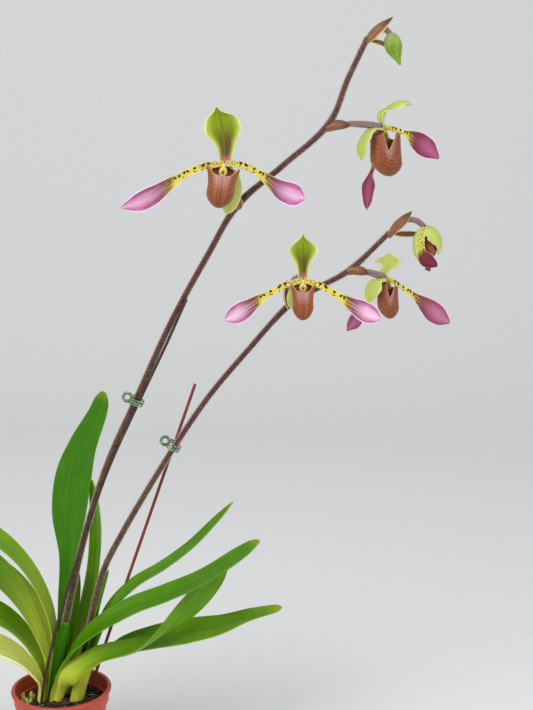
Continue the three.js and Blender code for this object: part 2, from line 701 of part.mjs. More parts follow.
function lipGeometry() {
  const rises = [0.05, 0.16, 0.36, 0.6, 0.82, 1];
  const outer = rises.map((rise) => new THREE.Vector2(2, rise));
  const inner = rises.toReversed().map((rise) => new THREE.Vector2(1, rise));
  const profile = [new THREE.Vector2(0, 0), ...outer, ...inner, new THREE.Vector2(0, 0.01)];
  const geometry = new THREE.LatheGeometry(profile, 16);
  const position = geometry.getAttribute("position");
  for (let i = 0; i < position.count; i++) {
    const radius = Math.hypot(position.getX(i), position.getZ(i));
    const angle = Math.atan2(position.getX(i), position.getZ(i));
    const rise = position.getY(i);
    const inside = radius < 1.5 && rise > 0.005 ? 1 : 0;
    const point = lipPoint(radius < 0.5 ? 0 : angle, inside, radius < 0.5 ? 0 : rise);
    if (radius < 0.5) {
      point.x = 0;
    }
    position.setXYZ(i, point.x, point.y, point.z);
  }
  return closedShell(geometry);
}

// The column: a short post under the dorsal sepal with the yellow shield in front
function columnGeometry() {
  const path = [[0, -2.8, -0.4], [0, -4.4, -1.6], [0, -5.2, -5]];
  const post = stemGeometry(path, [[0, 2], [0.5, 2.4], [1, 1.8]], 8);
  const shield = new THREE.SphereGeometry(1, 8, 6).scale(3.8, 1.1, 4.6).rotateX(-0.15);
  return join([post, shield.translate(0, -5.8, -7.6)]);
}

function placeBloomPiece(geometry, bloom) {
  const turn = new THREE.Matrix4().makeRotationZ(THREE.MathUtils.degToRad(bloom.turn));
  const lean = new THREE.Matrix4().makeRotationY(THREE.MathUtils.degToRad(bloom.lean));
  const place = turn.multiply(lean).setPosition(new THREE.Vector3(...bloom.centre));
  return geometry.scale(bloom.pouch, bloom.pouch, bloom.pouch).applyMatrix4(place);
}

const DORSAL = {
  half: [3.4, 5, 7, 9.2, 12.4, 14.9, 15.2, 13.7, 10, 3.2, 0.6],
  wrap: [0.5, 0.4, 0.25, 0.3, 0.4],
};
const PETAL = {
  half: [2.6, 2.6, 2.7, 3, 3.5, 4.5, 6.3, 8.1, 8.8, 6.8, 0.7],
  wrap: [0.4, 0.3, 0.2, 0.2, 0.3],
};
const NEAR_PETAL = {
  ...PETAL,
  side: [[0, 0.3, -0.95], [-0.1, 0.3, -0.95], [-0.3, 0.15, -0.9], [-0.5, 0, -0.85], [-0.56, 0, -0.83]],
  half: [2.6, 2.2, 2.1, 2.1, 2.6, 5.2, 7.7, 8.6, 8, 4.8, 0.7],
};

const BLOOMS = {
  a: {
    centre: [152, -34, 552],
    turn: 0,
    lean: 8,
    pouch: 0.86,
    ovary: [[160.6, -5.4, 518], [159.4, -8, 532], [156.4, -14, 545], [153, -23, 551.6], [152, -35, 552]],
    dorsal_sepal: {
      ...DORSAL,
      spine: [[153, -34, 555.3], [153, -32, 566], [151.4, -31, 578], [148.4, -33, 589], [145.8, -38, 598]],
      side: [[-1, 0, 0], [-1, 0, 0.1]],
    },
    petal_left: {
      ...PETAL,
      spine: [[149.4, -35, 552], [135, -38, 549.6], [121, -40, 544], [107, -40, 535.4], [93, -38, 526.4],
        [80, -36, 520], [66, -34, 516]],
      side: [[0.2, 0, -1], [0.3, 0.1, -0.95], [0.4, 0.3, -0.85], [0.35, 0.6, -0.7], [0.3, 0.5, -0.8]],
    },
    petal_right: {
      ...PETAL,
      spine: [[155, -35, 552], [167, -36, 550.6], [178, -32, 545.4], [188, -27, 538], [198, -20, 530],
        [208, -15, 525.6], [219, -12, 522]],
      side: [[0.2, 0, 1], [0.3, 0, 0.95], [0.4, 0.1, 0.9], [0.2, 0.1, 0.95], [0.2, 0.1, 0.95]],
    },
    synsepal: {
      spine: [[152.6, -28.4, 547], [156, -21, 543], [156.6, -19, 531], [155, -19.4, 518], [153, -22, 509.6]],
      side: [[-1, 0, 0], [-1, 0, 0.1]],
      half: [3.4, 6.6, 9.6, 7.6, 1],
      wrap: [0.9, 0.4, 0.4, 0.5],
    },
  },
  b: {
    centre: [284.5, 16, 581],
    turn: 118,
    lean: 0,
    pouch: 1,
    ovary: [[243.6, 2, 583.6], [253, 5, 585.4], [264, 8, 585.6], [274, 11, 584], [285.5, 16.6, 581]],
    dorsal_sepal: {
      ...DORSAL,
      spine: [[284.5, 16, 585], [286.4, 16, 592], [292.6, 17.6, 599], [301.5, 20, 602.2], [310.4, 22, 599.2]],
      side: [[0.5, -0.87, 0], [0.5, -0.87, 0]],
      half: [3.6, 8, 11.5, 11, 7, 1],
      wrap: [-0.3, -0.5, 0.2, 0.7, 0.8],
    },
    petal_left: {
      ...NEAR_PETAL,
      spine: [[286.2, 13.4, 580.7], [293, 2, 579.2], [299, -10, 577], [305.6, -21, 573.2], [312, -31, 568.2],
        [318.8, -39.4, 562.4], [325.5, -46, 556]],
    },
    petal_right: {
      ...PETAL,
      spine: [[283.4, 18.9, 579.5], [281, 31, 569.6], [279.9, 40, 558], [280, 45, 546.5], [278.6, 47.6, 538],
        [276.8, 49, 525], [275.4, 49.6, 508.3]],
      side: [[0.4, 0.6, 0.6], [0.9, 0.3, 0.2], [0.9, -0.2, 0], [0.5, -0.85, 0], [0.62, -0.78, 0],
        [0.65, -0.75, 0]],
      half: [2.6, 2.6, 2.8, 3, 3.1, 3, 3.4, 6.6, 8.6, 7, 0.7],
    },
    synsepal: {
      spine: [[280.5, 13, 578.4], [271.5, 9.6, 577.2], [266.4, 8.6, 571], [265.6, 9, 561], [267.4, 10, 552]],
      side: [[-0.4, 0.9, 0], [-0.5, 0.86, 0], [-0.6, 0.8, 0]],
      half: [3.4, 5, 7.6, 7, 0.8],
      wrap: [0.8, 0.6, 0.5, 0.5],
    },
  },
  c: {
    centre: [217, -22, 455],
    turn: 0,
    lean: 0,
    pouch: 0.8,
    ovary: [[206.3, 5.8, 431], [207, 1.4, 443], [209.6, -4.6, 451.6], [213.6, -12, 455.4], [217, -23, 455]],
    dorsal_sepal: {
      ...DORSAL,
      spine: [[217, -22, 458.5], [217, -20, 467], [217, -19, 477], [217, -20.6, 486], [217, -24, 494]],
      side: [[-1, 0, 0], [-1, 0, 0]],
      half: [3.4, 4, 5.3, 6.8, 9.2, 11.6, 12.4, 10.4, 6, 1.8, 0.5],
    },
    petal_left: {
      ...PETAL,
      spine: [[213.6, -23, 455], [201, -27, 450.6], [189, -29, 444.6], [178, -28.6, 438], [168.6, -27, 431.4],
        [160, -25.6, 425.6], [151, -24, 421]],
      side: [[0.2, 0, -1], [0.4, 0.1, -0.9], [0.5, 0.2, -0.85], [0.5, 0.2, -0.85], [0.5, 0.1, -0.85]],
      half: [2.6, 2.6, 2.7, 2.9, 3.3, 4.2, 5.6, 7, 7.6, 5.8, 0.7],
    },
    petal_right: {
      ...PETAL,
      spine: [[219.5, -23, 455], [232, -27, 450.6], [243.6, -29, 444], [254.6, -28.6, 437], [264.6, -27, 431],
        [273.6, -25.6, 426], [283, -24, 422]],
      side: [[0.2, 0, 1], [0.4, 0.1, 0.9], [0.5, 0.2, 0.85], [0.45, 0.2, 0.85], [0.45, 0.1, 0.85]],
      half: [2.6, 2.6, 2.7, 2.9, 3.3, 4.2, 5.6, 7, 7.6, 5.8, 0.7],
    },
    synsepal: {
      spine: [[216.6, -17.8, 451], [215.2, -8, 446], [214.4, -5, 436], [214.4, -6, 427], [214.8, -8, 420]],
      side: [[-1, 0, 0], [-1, 0, 0]],
      half: [3.4, 6.4, 7, 5.4, 0.8],
      wrap: [0.9, 0.4, 0.4, 0.5],
    },
  },
  d: {
    centre: [289, 10, 453],
    turn: 118,
    lean: 0,
    pouch: 0.87,
    ovary: [[267.4, 9.2, 460.6], [272, 8, 459.6], [278, 7, 457.8], [283.4, 7.4, 455.4], [290, 10.6, 453]],
    dorsal_sepal: {
      ...DORSAL,
      spine: [[289, 10.6, 457], [289.2, 10.8, 460], [291.4, 11.6, 463.8], [292.8, 12.6, 467.6], [293.8, 14, 473.2]],
      side: [[0.85, -0.5, 0], [0.9, -0.42, 0.08], [0.92, -0.38, 0.1], [0.94, -0.3, 0.1]],
      half: [3.6, 3.7, 4, 4.5, 5.2, 6.6, 9.4, 12.6, 11.6, 6.4, 0.8],
      wrap: [-0.2, -0.3, -0.4, -0.4, -0.4],
    },
    petal_left: {
      ...NEAR_PETAL,
      spine: [[290.7, 7.3, 452.7], [298, -5, 449.4], [305, -17, 445.4], [313, -28, 440.6], [321, -37, 435.4],
        [329, -44, 429.6], [337.4, -50, 422.6]],
    },
    petal_right: {
      ...PETAL,
      spine: [[287.8, 12.9, 451.4], [283.6, 25, 442], [278.4, 35, 432], [273, 43, 422], [268.4, 48, 413],
        [264, 51, 405.6], [259, 53, 399]],
      side: [[0.4, 0.6, 0.6], [0.6, 0.6, 0.5], [0.8, 0.4, -0.4], [0.8, 0.2, -0.6], [0.8, 0, -0.6]],
    },
    synsepal: {
      spine: [[285, 7, 449.6], [279, 3.6, 449.6], [275, 2, 444], [274, 2, 437], [276, 3, 430]],
      side: [[-0.5, 0.86, 0], [-0.75, 0.6, 0], [-0.8, 0.6, 0]],
      half: [3.4, 6, 8.4, 6, 0.8],
      wrap: [0.8, 0.6, 0.4, 0.4],
    },
  },
};

const OVARY_GIRTH = [[0, 1.8], [0.25, 2.1], [0.5, 2.8], [0.8, 3.1], [0.97, 2.9], [1, 2.2]];

function addBloom(letter, bloom) {
  const name = (piece) => `bloom_${letter}_${piece}`;
  addPiece(name("ovary"), stemGeometry(bloom.ovary, OVARY_GIRTH, 8), COLOURS.ovary, 0.8);
  for (const piece of ["dorsal_sepal", "synsepal"]) {
    addPiece(name(piece), bladeGeometry({ ...bloom[piece], thick: SEPAL_THICKNESS }, 4, 8), COLOURS.sepal);
  }
  for (const piece of ["petal_left", "petal_right"]) {
    addPiece(name(piece), bladeGeometry({ ...bloom[piece], thick: PETAL_THICKNESS }, 4, 10), COLOURS.petal);
  }
  addPiece(name("lip"), placeBloomPiece(lipGeometry(), bloom), COLOURS.lip, 0.4);
  addPiece(name("column"), placeBloomPiece(columnGeometry(), bloom), COLOURS.column);
}

// Bud e, half open: a hood over two curled petals and a small pouch

const BUD_E = {
  ovary: [[295.4, 8.6, 493.6], [301, 6, 500], [307, 2.6, 503.4], [314, -1.6, 502.6], [320, -4.4, 498]],
  dorsal_sepal: {
    spine: [[322, -4.8, 499.3], [330.6, -5, 496.4], [336, -5, 490.4], [337.6, -5, 482], [334.6, -5, 474]],
    side: [[0, -1, 0], [0, -1, 0]],
    half: [4, 10, 13.5, 11.5, 2],
    wrap: [1.1, 1.5, 1.7, 1.5, 0.8],
    thick: SEPAL_THICKNESS,
  },
  synsepal: {
    spine: [[317, -2.4, 496.4], [313.4, -2.4, 489.6], [312.4, -2.6, 481.6], [314, -3, 474],
      [317.6, -3.6, 468.6]],
    side: [[0, 1, 0], [0, 1, 0]],
    half: [3, 6.5, 7.5, 5.5, 0.8],
    wrap: [0.8, 0.8, 0.8, 0.6],
    thick: SEPAL_THICKNESS,
  },
  petal_left: {
    spine: [[319.6, -8, 494.4], [318.4, -11, 485], [320, -11, 476], [325, -9, 469.6], [332, -6, 470]],
    side: [[-0.8, 0.6, 0], [-1, 0.2, 0.1], [-1, 0.1, 0.3], [-0.3, -0.7, 0.8]],
    half: [2, 3.6, 4.6, 5, 1],
    wrap: [0.3, 0.3, 0.5, 0.5],
    thick: PETAL_THICKNESS,
  },
  petal_right: {
    spine: [[320.6, 1.4, 493], [319.4, 4, 484], [322, 4.4, 473], [327.6, 1, 464.6], [321.6, -4, 461.6]],
    side: [[0.8, 0.6, 0], [1, 0.2, 0], [0.8, 0.2, 0.4], [0.2, 0.5, 0.8]],
    half: [2, 4, 5, 5, 1],
    wrap: [0.3, 0.3, 0.4, 0.4],
    thick: PETAL_THICKNESS,
  },
  lip: [[320.9, -4.3, 496.9], [324, -4, 488], [327, -4, 481], [328.4, -4, 474.4]],
};
const BUD_LIP_GIRTH = [[0, 1.4], [0.2, 2.8], [0.5, 4.6], [0.75, 5.2], [0.92, 3.8], [1, 1.6]];

// Bud f, closed: three sepals pressed together, ridged where they meet

const BUD_F = {
  ovary: [[271.9, -0.3, 655], [278, -1.4, 657.6], [283.4, -2.6, 658.6], [286.4, -3.6, 657]],
  bud: [[287.1, -4, 655.6], [290, -4.6, 646.6], [293.2, -5, 638.6], [297, -5.4, 630.4]],
};
const PEDICEL_GIRTH = [[0, 1.6], [0.5, 1.9], [0.9, 2.2], [1, 1.8]];
const BUD_F_GIRTH = [[0, 2.6], [0.1, 4.8], [0.25, 7], [0.45, 7.8], [0.65, 6.4], [0.82, 3.4], [1, 0.7]];

function addBuds() {
  const slender = OVARY_GIRTH.map(([t, r]) => [t, 0.8 * r]);
  addPiece("bud_e_ovary", stemGeometry(BUD_E.ovary, slender, 8), COLOURS.ovary);
  for (const piece of ["dorsal_sepal", "synsepal", "petal_left", "petal_right"]) {
    const colour = piece.startsWith("petal") ? COLOURS.petal : COLOURS.sepal;
    addPiece(`bud_e_${piece}`, bladeGeometry(BUD_E[piece], 6, 7), colour);
  }
  addPiece("bud_e_lip", stemGeometry(BUD_E.lip, BUD_LIP_GIRTH, 10), COLOURS.lip);
  addPiece("bud_f_ovary", stemGeometry(BUD_F.ovary, PEDICEL_GIRTH, 8), COLOURS.ovary);
  addPiece("bud_f_bud", stemGeometry(BUD_F.bud, BUD_F_GIRTH, 10), COLOURS.bud);
}

addPiece("pot", potGeometry(), COLOURS.pot, 0.55);
addPiece("potting_mix", mixGeometry(), COLOURS.mix, 0.95);
addLeaves();
addPiece("scape_1", scapeGeometry(SCAPE_1), COLOURS.scape, 0.8);
addPiece("scape_2", scapeGeometry(SCAPE_2), COLOURS.scape, 0.8);
addPiece("stake_1", stakeGeometry(STAKE_1, 16), COLOURS.stake1, 0.9);
addPiece("stake_2", stakeGeometry(STAKE_2, 6), COLOURS.stake2, 0.8);
for (const clip of CLIPS) {
  addPiece(clip.name, clipGeometry(clip), COLOURS.clip, 0.5);
}
for (const [letter, bloom] of Object.entries(BLOOMS)) {
  addBloom(letter, bloom);
}
addBuds();

export default plant;
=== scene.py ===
"""Potted slipper orchid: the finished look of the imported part, laid out as an add-on.

Lengths in the tables are millimetres in the part's own frame, and a finished mesh is in metres.
"""

import math
import random

import bmesh
import bpy
from bpy.props import FloatProperty, FloatVectorProperty, IntProperty
from mathutils import Euler, Matrix, Vector, noise


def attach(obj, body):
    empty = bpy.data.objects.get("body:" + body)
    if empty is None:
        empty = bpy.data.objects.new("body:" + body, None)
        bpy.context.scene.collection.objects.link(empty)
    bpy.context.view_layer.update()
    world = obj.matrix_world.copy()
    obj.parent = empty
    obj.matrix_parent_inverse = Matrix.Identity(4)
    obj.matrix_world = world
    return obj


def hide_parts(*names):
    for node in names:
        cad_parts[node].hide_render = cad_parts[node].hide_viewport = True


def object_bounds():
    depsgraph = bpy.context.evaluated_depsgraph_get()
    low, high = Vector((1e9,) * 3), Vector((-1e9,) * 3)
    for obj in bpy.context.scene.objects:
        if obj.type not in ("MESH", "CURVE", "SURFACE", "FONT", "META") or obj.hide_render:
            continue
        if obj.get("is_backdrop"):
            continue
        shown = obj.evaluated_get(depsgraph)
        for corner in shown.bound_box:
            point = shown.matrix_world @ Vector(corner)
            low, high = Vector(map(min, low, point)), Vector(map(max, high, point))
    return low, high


bl_info = {
    "name": "Potted slipper orchid",
    "version": (1, 0, 0),
    "blender": (4, 5, 0),
    "location": "View3D > Sidebar > Orchid",
    "description": "Leaves, stems, blooms and pot of a slipper orchid round its packed part",
    "category": "Object",
}

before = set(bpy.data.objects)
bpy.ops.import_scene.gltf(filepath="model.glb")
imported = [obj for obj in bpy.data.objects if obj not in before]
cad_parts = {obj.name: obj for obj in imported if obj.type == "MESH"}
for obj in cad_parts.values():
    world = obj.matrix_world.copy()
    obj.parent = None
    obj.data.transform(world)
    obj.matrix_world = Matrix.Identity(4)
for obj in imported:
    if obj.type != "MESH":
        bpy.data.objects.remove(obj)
CAD_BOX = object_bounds()

BODY = "root"
METRES = 0.001
MM = 1000
BATCH = 60


def srgb(red, green, blue):
    """A colour picked on a 0 to 255 scale, made linear."""
    linear = []
    for value in (red, green, blue):
        share = value / 255
        linear.append(share / 12.92 if share <= 0.04045 else ((share + 0.055) / 1.055) ** 2.4)
    return tuple(linear)


# Tables of shapes
#
# A blade (leaf, sheath, bract, sepal or petal) is given by rows that are spread evenly along it:
# spine is its midline, side points from there to one margin, half is half its width along the arc
# of its section, and wrap is half that arc's angle, negative where the other face is hollow.
# blunt is the share of its length that rounds off at the tip, tone goes from dark green (0) to
# yellow green (1), and foot is the share of its length over which its pale foot ends. A leaf
# stands on a ring round the middle of its growth, at some degrees, and each growth leans a little.

GROWTH_1 = {"x": -10.5, "y": 1.0, "lean": 0.17}
GROWTH_2 = {"x": 7.7, "y": 7.0, "lean": 0.22}
POCKET_FLOOR = 56.0
GAP = 0.3
FOOT_RISE = 24
OLD_LEAF = "leaf_left_4"

LEAVES = {
    "leaf_tall": {
        "growth": GROWTH_1, "degrees": 62, "ring": 6,
        "spine": [(1.4, 6.4, 116), (5, 9, 158), (8.2, 13, 200), (9, 17, 238), (13.5, 20, 272),
                  (22.5, 20, 301), (36.6, 18, 331), (42.6, 16, 351)],
        "side": [(-0.98, 0.1, 0), (-1, 0, 0), (-1, 0.05, 0.05), (-1, 0.1, 0.1)],
        "half": [5.2, 5.4, 6, 7.4, 8.8, 15.4, 16.4, 12.6, 8.4, 5.8],
        "wrap": [0.86, 0.86, 0.9, 0.8, 0.6, 0.4, 0.3, 0.3, 0.3, 0.3],
        "tone": 0.1, "foot": 0.22, "blunt": 0.07,
    },
    "leaf_short": {
        "growth": GROWTH_1, "degrees": 65, "ring": 7.6,
        "spine": [(3, 11, 112), (9.4, 15.2, 148), (11.6, 20, 176), (11, 22, 190)],
        "side": [(-1, 0, 0), (-1, 0, 0)],
        "half": [4.2, 4.6, 5.6, 6.6, 5.4, 1.6],
        "wrap": [0.55, 0.55, 0.7, 0.6, 0.4, 0.3],
        "tone": 0.4, "foot": 0.4, "blunt": 0.06,
    },
    "leaf_narrow": {
        "growth": GROWTH_2, "degrees": 130, "ring": 7.2,
        "spine": [(15.4, 18, 115), (22.8, 21.6, 150), (29.4, 23, 186), (32.4, 22.6, 222),
                  (31.4, 21, 252), (30, 20, 269)],
        "side": [(-0.97, 0.25, 0), (-0.88, 0.45, -0.1), (-0.75, 0.62, -0.2), (-0.7, 0.7, -0.1)],
        "half": [5.4, 5.8, 7, 7.6, 7.2, 7.2, 5.6, 2.4],
        "wrap": [0.75, 0.75, 0.8, 0.7, 0.6, 0.4, 0.3, 0.3],
        "tone": 0.55, "foot": 0.4, "blunt": 0.08,
    },
    "leaf_right_1": {
        "growth": GROWTH_2, "degrees": 12, "ring": 8.8,
        "spine": [(31.4, 7.6, 116), (46, 7, 150), (68, 8.4, 174), (94, 12, 190), (120, 17, 209),
                  (142, 21, 231), (156, 24, 247)],
        "side": [(-0.3, 0.95, 0), (-0.36, 0.93, -0.04), (-0.34, 0.94, -0.07), (-0.37, 0.93, -0.04)],
        "half": [7.2, 7.6, 8.8, 10.6, 11.4, 11, 10, 7, 1.2],
        "wrap": [0.8, 0.8, 0.8, 0.7, 0.5, 0.4, 0.4, 0.5, 0.6],
        "tone": 0.35, "foot": 0.34, "blunt": 0.03,
    },
    "leaf_right_2": {
        "growth": GROWTH_1, "degrees": -46, "ring": 6.2,
        "spine": [(8, -6.6, 108), (32, -12, 137), (66, -17, 161), (98, -21, 176), (130, -25, 192),
                  (160, -28, 213), (180.6, -31, 229.4)],
        "side": [(0.3, 0.9, 0.1), (-0.3, 0.93, 0.15), (-0.35, 0.92, 0.1), (-0.25, 0.96, 0.1),
                 (-0.33, 0.93, 0.17)],
        "half": [5.2, 5.8, 8, 12, 13.6, 14, 13.6, 11.4, 5],
        "wrap": [0.82, 0.82, 0.85, 0.7, 0.5, 0.35, 0.3, 0.3, 0.3],
        "tone": 0.3, "foot": 0.3, "blunt": 0.06,
    },
    "leaf_right_3": {
        "growth": GROWTH_1, "degrees": -54, "ring": 8.4,
        "spine": [(9, -15.4, 99), (36, -21, 117), (72, -22, 126), (97, -19, 140),
                  (119, -14, 161), (139, -9, 184), (152, -6, 199)],
        "side": [(0.75, -0.2, -0.6), (0.2, -0.9, -0.35), (0, -0.97, -0.1), (-0.5, -0.7, 0.35),
                 (-0.75, -0.3, 0.55), (-0.78, -0.1, 0.6)],
        "half": [5.6, 7, 10.4, 13, 14, 13.6, 12.6, 9.6, 2],
        "wrap": [0.68, 0.68, 0.5, -0.5, -0.7, -0.5, -0.4, -0.4, -0.4],
        "tone": 0.5, "foot": 0.46, "blunt": 0.04,
    },
    "leaf_right_4": {
        "growth": GROWTH_2, "degrees": -64, "ring": 10.8,
        "spine": [(27, -5.4, 98), (54, -1, 116), (84, 3, 125), (116, 5, 131), (146, 4, 137.6),
                  (173, 1, 149), (200, -4, 158)],
        "side": [(0.8, 0.6, 0.1), (0.1, 0.95, 0.3), (-0.05, 0.88, 0.45), (0.05, 0.85, 0.5),
                 (0, 0.3, 0.95)],
        "half": [6.6, 7.4, 9.6, 13.6, 15, 14.6, 11.6, 6.2, 3],
        "wrap": [0.6, 0.6, 0.65, 0.5, 0.3, 0.25, 0.25, 0.4, 0.5],
        "tone": 0.6, "foot": 0.44, "blunt": 0.03,
    },
    "leaf_left_1": {
        "growth": GROWTH_1, "degrees": 165, "ring": 6.4,
        "spine": [(-7.8, 5.8, 112), (-12, 8, 150), (-29, 11, 186), (-55, 14, 214), (-88, 17, 230),
                  (-122, 20, 232), (-154, 22, 221)],
        "side": [(-0.2, -0.96, -0.1), (-0.2, -0.96, -0.1), (0.05, -0.96, -0.2), (0.1, -0.96, -0.2),
                 (0, -1, 0)],
        "half": [5, 5.2, 6.4, 9, 12.6, 15.4, 15.4, 12, 2.5],
        "wrap": [0.8, 0.8, 0.75, 0.6, 0.5, 0.35, 0.3, 0.3, 0.3],
        "tone": 0.75, "foot": 0.62, "blunt": 0.05,
    },
    "leaf_left_2": {
        "growth": GROWTH_1, "degrees": 193, "ring": 9.4,
        "spine": [(-13.4, -6.2, 112), (-24, -13, 150), (-41, -18, 184), (-64, -22, 208),
                  (-92, -28, 222), (-122, -33, 224), (-150, -39, 213)],
        "side": [(-0.05, -0.98, -0.1), (-0.06, -0.97, -0.2), (0, -0.93, -0.35),
                 (0.05, -0.95, -0.3), (0, -0.97, -0.2)],
        "half": [5, 5.4, 7.6, 13.4, 18, 18.5, 17.5, 13, 3],
        "wrap": [0.53, 0.53, 0.6, 0.5, 0.4, 0.3, 0.25, 0.25, 0.25],
        "tone": 0.25, "foot": 0.62, "blunt": 0.05,
    },
    "leaf_left_3": {
        "growth": GROWTH_1, "degrees": 194, "ring": 11,
        "spine": [(-17.6, -7, 102), (-31, -13, 134), (-51, -20, 156), (-78, -27, 169),
                  (-108, -34, 169), (-140, -42, 154)],
        "side": [(0, -0.98, -0.1), (0, -0.97, -0.2), (0.15, -0.93, -0.3), (0.1, -0.95, -0.2),
                 (0, -0.98, -0.1)],
        "half": [5.4, 6.2, 9.6, 14.4, 17, 16.5, 12, 2.5],
        "wrap": [0.48, 0.48, 0.5, 0.5, 0.45, 0.35, 0.35, 0.35],
        "tone": 0.75, "foot": 0.5, "blunt": 0.05,
    },
    "leaf_left_4": {
        "growth": GROWTH_1, "degrees": 192, "ring": 12.6,
        "spine": [(-22.6, -5.6, 93), (-40, -10, 113), (-66, -16, 127), (-94, -22, 127),
                  (-122, -28, 112), (-142, -32, 92)],
        "side": [(0.1, -0.97, -0.1), (0.2, -0.93, -0.25), (0.15, -0.93, -0.3), (0, -0.98, -0.1),
                 (0, -1, 0)],
        "half": [5, 6.6, 11, 15.4, 16, 13.5, 9, 2],
        "wrap": [0.4, 0.4, 0.55, 0.7, 0.75, 0.7, 0.7, 0.7],
        "keel": 0.15, "blunt": 0.04,
    },
    "leaf_left_5": {
        "growth": GROWTH_1, "degrees": 128, "ring": 8.3,
        "spine": [(-11, 11.6, 106), (-18.6, 15, 136), (-32, 18, 163), (-52, 20, 184),
                  (-78, 24, 195), (-104, 28, 194)],
        "side": [(-0.6, -0.8, -0.1), (-0.2, -0.96, -0.1), (0.1, -0.96, -0.2), (0.1, -0.97, -0.1)],
        "half": [4, 4.2, 6, 8.4, 10.4, 10.5, 7, 1.5],
        "wrap": [0.48, 0.48, 0.6, 0.6, 0.5, 0.4, 0.4, 0.4],
        "tone": 1.0, "foot": 1.0, "blunt": 0.04,
    },
    "sheath_1": {
        "growth": GROWTH_1, "degrees": -92, "ring": 4.4,
        "spine": [(-3.8, -3.8, 97), (-0.2, -4.4, 115), (3.6, -5, 131), (6.4, -5, 144)],
        "side": [(1, 0, 0), (1, 0, 0)],
        "half": [4, 4.2, 4.8, 5.4, 5.2, 3.6],
        "wrap": [0.9, 0.9, 0.95, 1, 0.9, 0.8],
        "tone": 0.0, "foot": 0.1, "blunt": 0.05,
    },
    "sheath_2": {
        "growth": GROWTH_2, "degrees": 0, "ring": 4.5,
        "spine": [(23, 7.4, 104), (29.4, 8.4, 130), (35.4, 9.6, 156), (41.6, 11, 178),
                  (43.8, 11.6, 187)],
        "side": [(-0.15, 0.98, 0), (-0.3, 0.95, -0.1), (-0.35, 0.93, -0.1)],
        "half": [4.6, 5, 6, 6.4, 5.6, 3.6, 1.2],
        "wrap": [1.02, 1.02, 1.1, 1.2, 1.1, 1, 0.8],
        "tone": 0.35, "foot": 0.2, "blunt": 0.05,
    },
}

# foot and top are radii, and nodes are the shares of a stem's length where it swells.
SCAPES = {
    "scape_1": {
        "path": [(-10.4, 1, 57), (-2.8, 0.6, 105), (8.4, 0, 155), (24, 0, 220), (46, 0, 288),
                 (74, 0, 350), (104, 0, 415), (136, 0, 473), (162, 0, 516), (199, 0, 548),
                 (238, 0, 583), (254, 0, 620), (270, 0, 654)],
        "foot": 3.1, "top": 2.6, "nodes": [8 / 12, 10 / 12],
        "bracts": [
            {"spine": [(162, -2, 512), (162, -6.6, 515.6), (160.6, -10.4, 520.4), (158, -13, 526)],
             "side": [(1, 0.1, 0.1), (1, 0.1, 0.2)],
             "half": [4.5, 5.5, 4.6, 1.2], "wrap": [1, 0.9, 0.8, 0.8]},
            {"spine": [(236.6, -3.4, 579.6), (242.6, -2.4, 581.8), (249, -0.6, 582.8),
                       (256.6, 1.6, 582.4)],
             "side": [(0, 0, -1), (0, 0, -1)],
             "half": [3.4, 6.8, 6.4, 1.2], "wrap": [1.2, 1.8, 1.7, 1]},
            {"spine": [(268.4, 0, 649), (270.6, -1, 657), (279, -1.4, 664.6), (291, -1, 670.2)],
             "side": [(0, -1, 0), (0.1, -0.98, -0.1), (0.3, -0.9, -0.3)],
             "half": [3.6, 10.5, 11, 8.6, 0.8], "wrap": [1.3, 1.7, 1.6, 1.3, 0.6]},
            {"spine": [(271, -1, 651.6), (275.6, -2, 650.6), (280, -3, 649.4), (285, -4, 647.6)],
             "side": [(0, 0.3, 0.95), (0, 0.3, 0.95)],
             "half": [1, 1.6, 2.2, 2.2], "wrap": [0.9, 0.9, 0.8, 0.6], "blunt": 0.02},
        ],
    },
    "scape_2": {
        "path": [(7.9, 7, 57), (18.8, 7.6, 105), (30.6, 8.4, 155), (40.6, 9.2, 190), (58, 10, 224),
                 (80, 10, 262), (104, 10, 301), (135, 10, 347), (169.4, 10, 388.4), (206, 10, 429),
                 (234, 10, 445.6), (260, 10, 461), (292, 10, 492)],
        "foot": 3, "top": 2.5, "nodes": [9 / 12, 11 / 12],
        "bracts": [
            {"spine": [(205, 10, 427), (202.6, 7, 434), (202, 3, 443), (204, -1, 452)],
             "side": [(-0.5, -0.8, -0.3), (-0.5, -0.8, -0.3)],
             "half": [4, 5.4, 4.6, 1], "wrap": [1.1, 1.1, 1, 0.8]},
            {"spine": [(255.6, 6, 458), (261.6, 5.6, 459.4), (267.6, 5, 458.8),
                       (273.6, 4.2, 457.6)],
             "side": [(0, 0, -1), (0, 0, -1)],
             "half": [3, 6.6, 6.2, 1], "wrap": [1.2, 1.8, 1.7, 1]},
            {"spine": [(290.4, 7, 488.4), (295.2, 2.6, 496.6), (301.4, -0.6, 503),
                       (309.6, 0, 510.4)],
             "side": [(0.55, -0.55, -0.55), (0.55, -0.6, -0.5)],
             "half": [2.6, 4.4, 5.2, 4.6, 0.7], "wrap": [0.9, 0.9, 0.8, 0.6]},
            {"spine": [(292, 9.2, 490.6), (298, 7.8, 490.6), (305, 6.4, 490.4), (316, 4.6, 491)],
             "side": [(0, 0.4, 0.9), (0, 0.4, 0.9)],
             "half": [1, 1.2, 2.6, 2.9, 2], "wrap": [0.9, 0.9, 0.8, 0.6]},
        ],
    },
}

NODE_SWELL = 0.5
NODE_SHARPNESS = 26
BRACT_THICK = 0.8
OVARY_HAIRS = 420
BARK_SEED, STEM_SEED, OVARY_SEED = 11, 3, 40

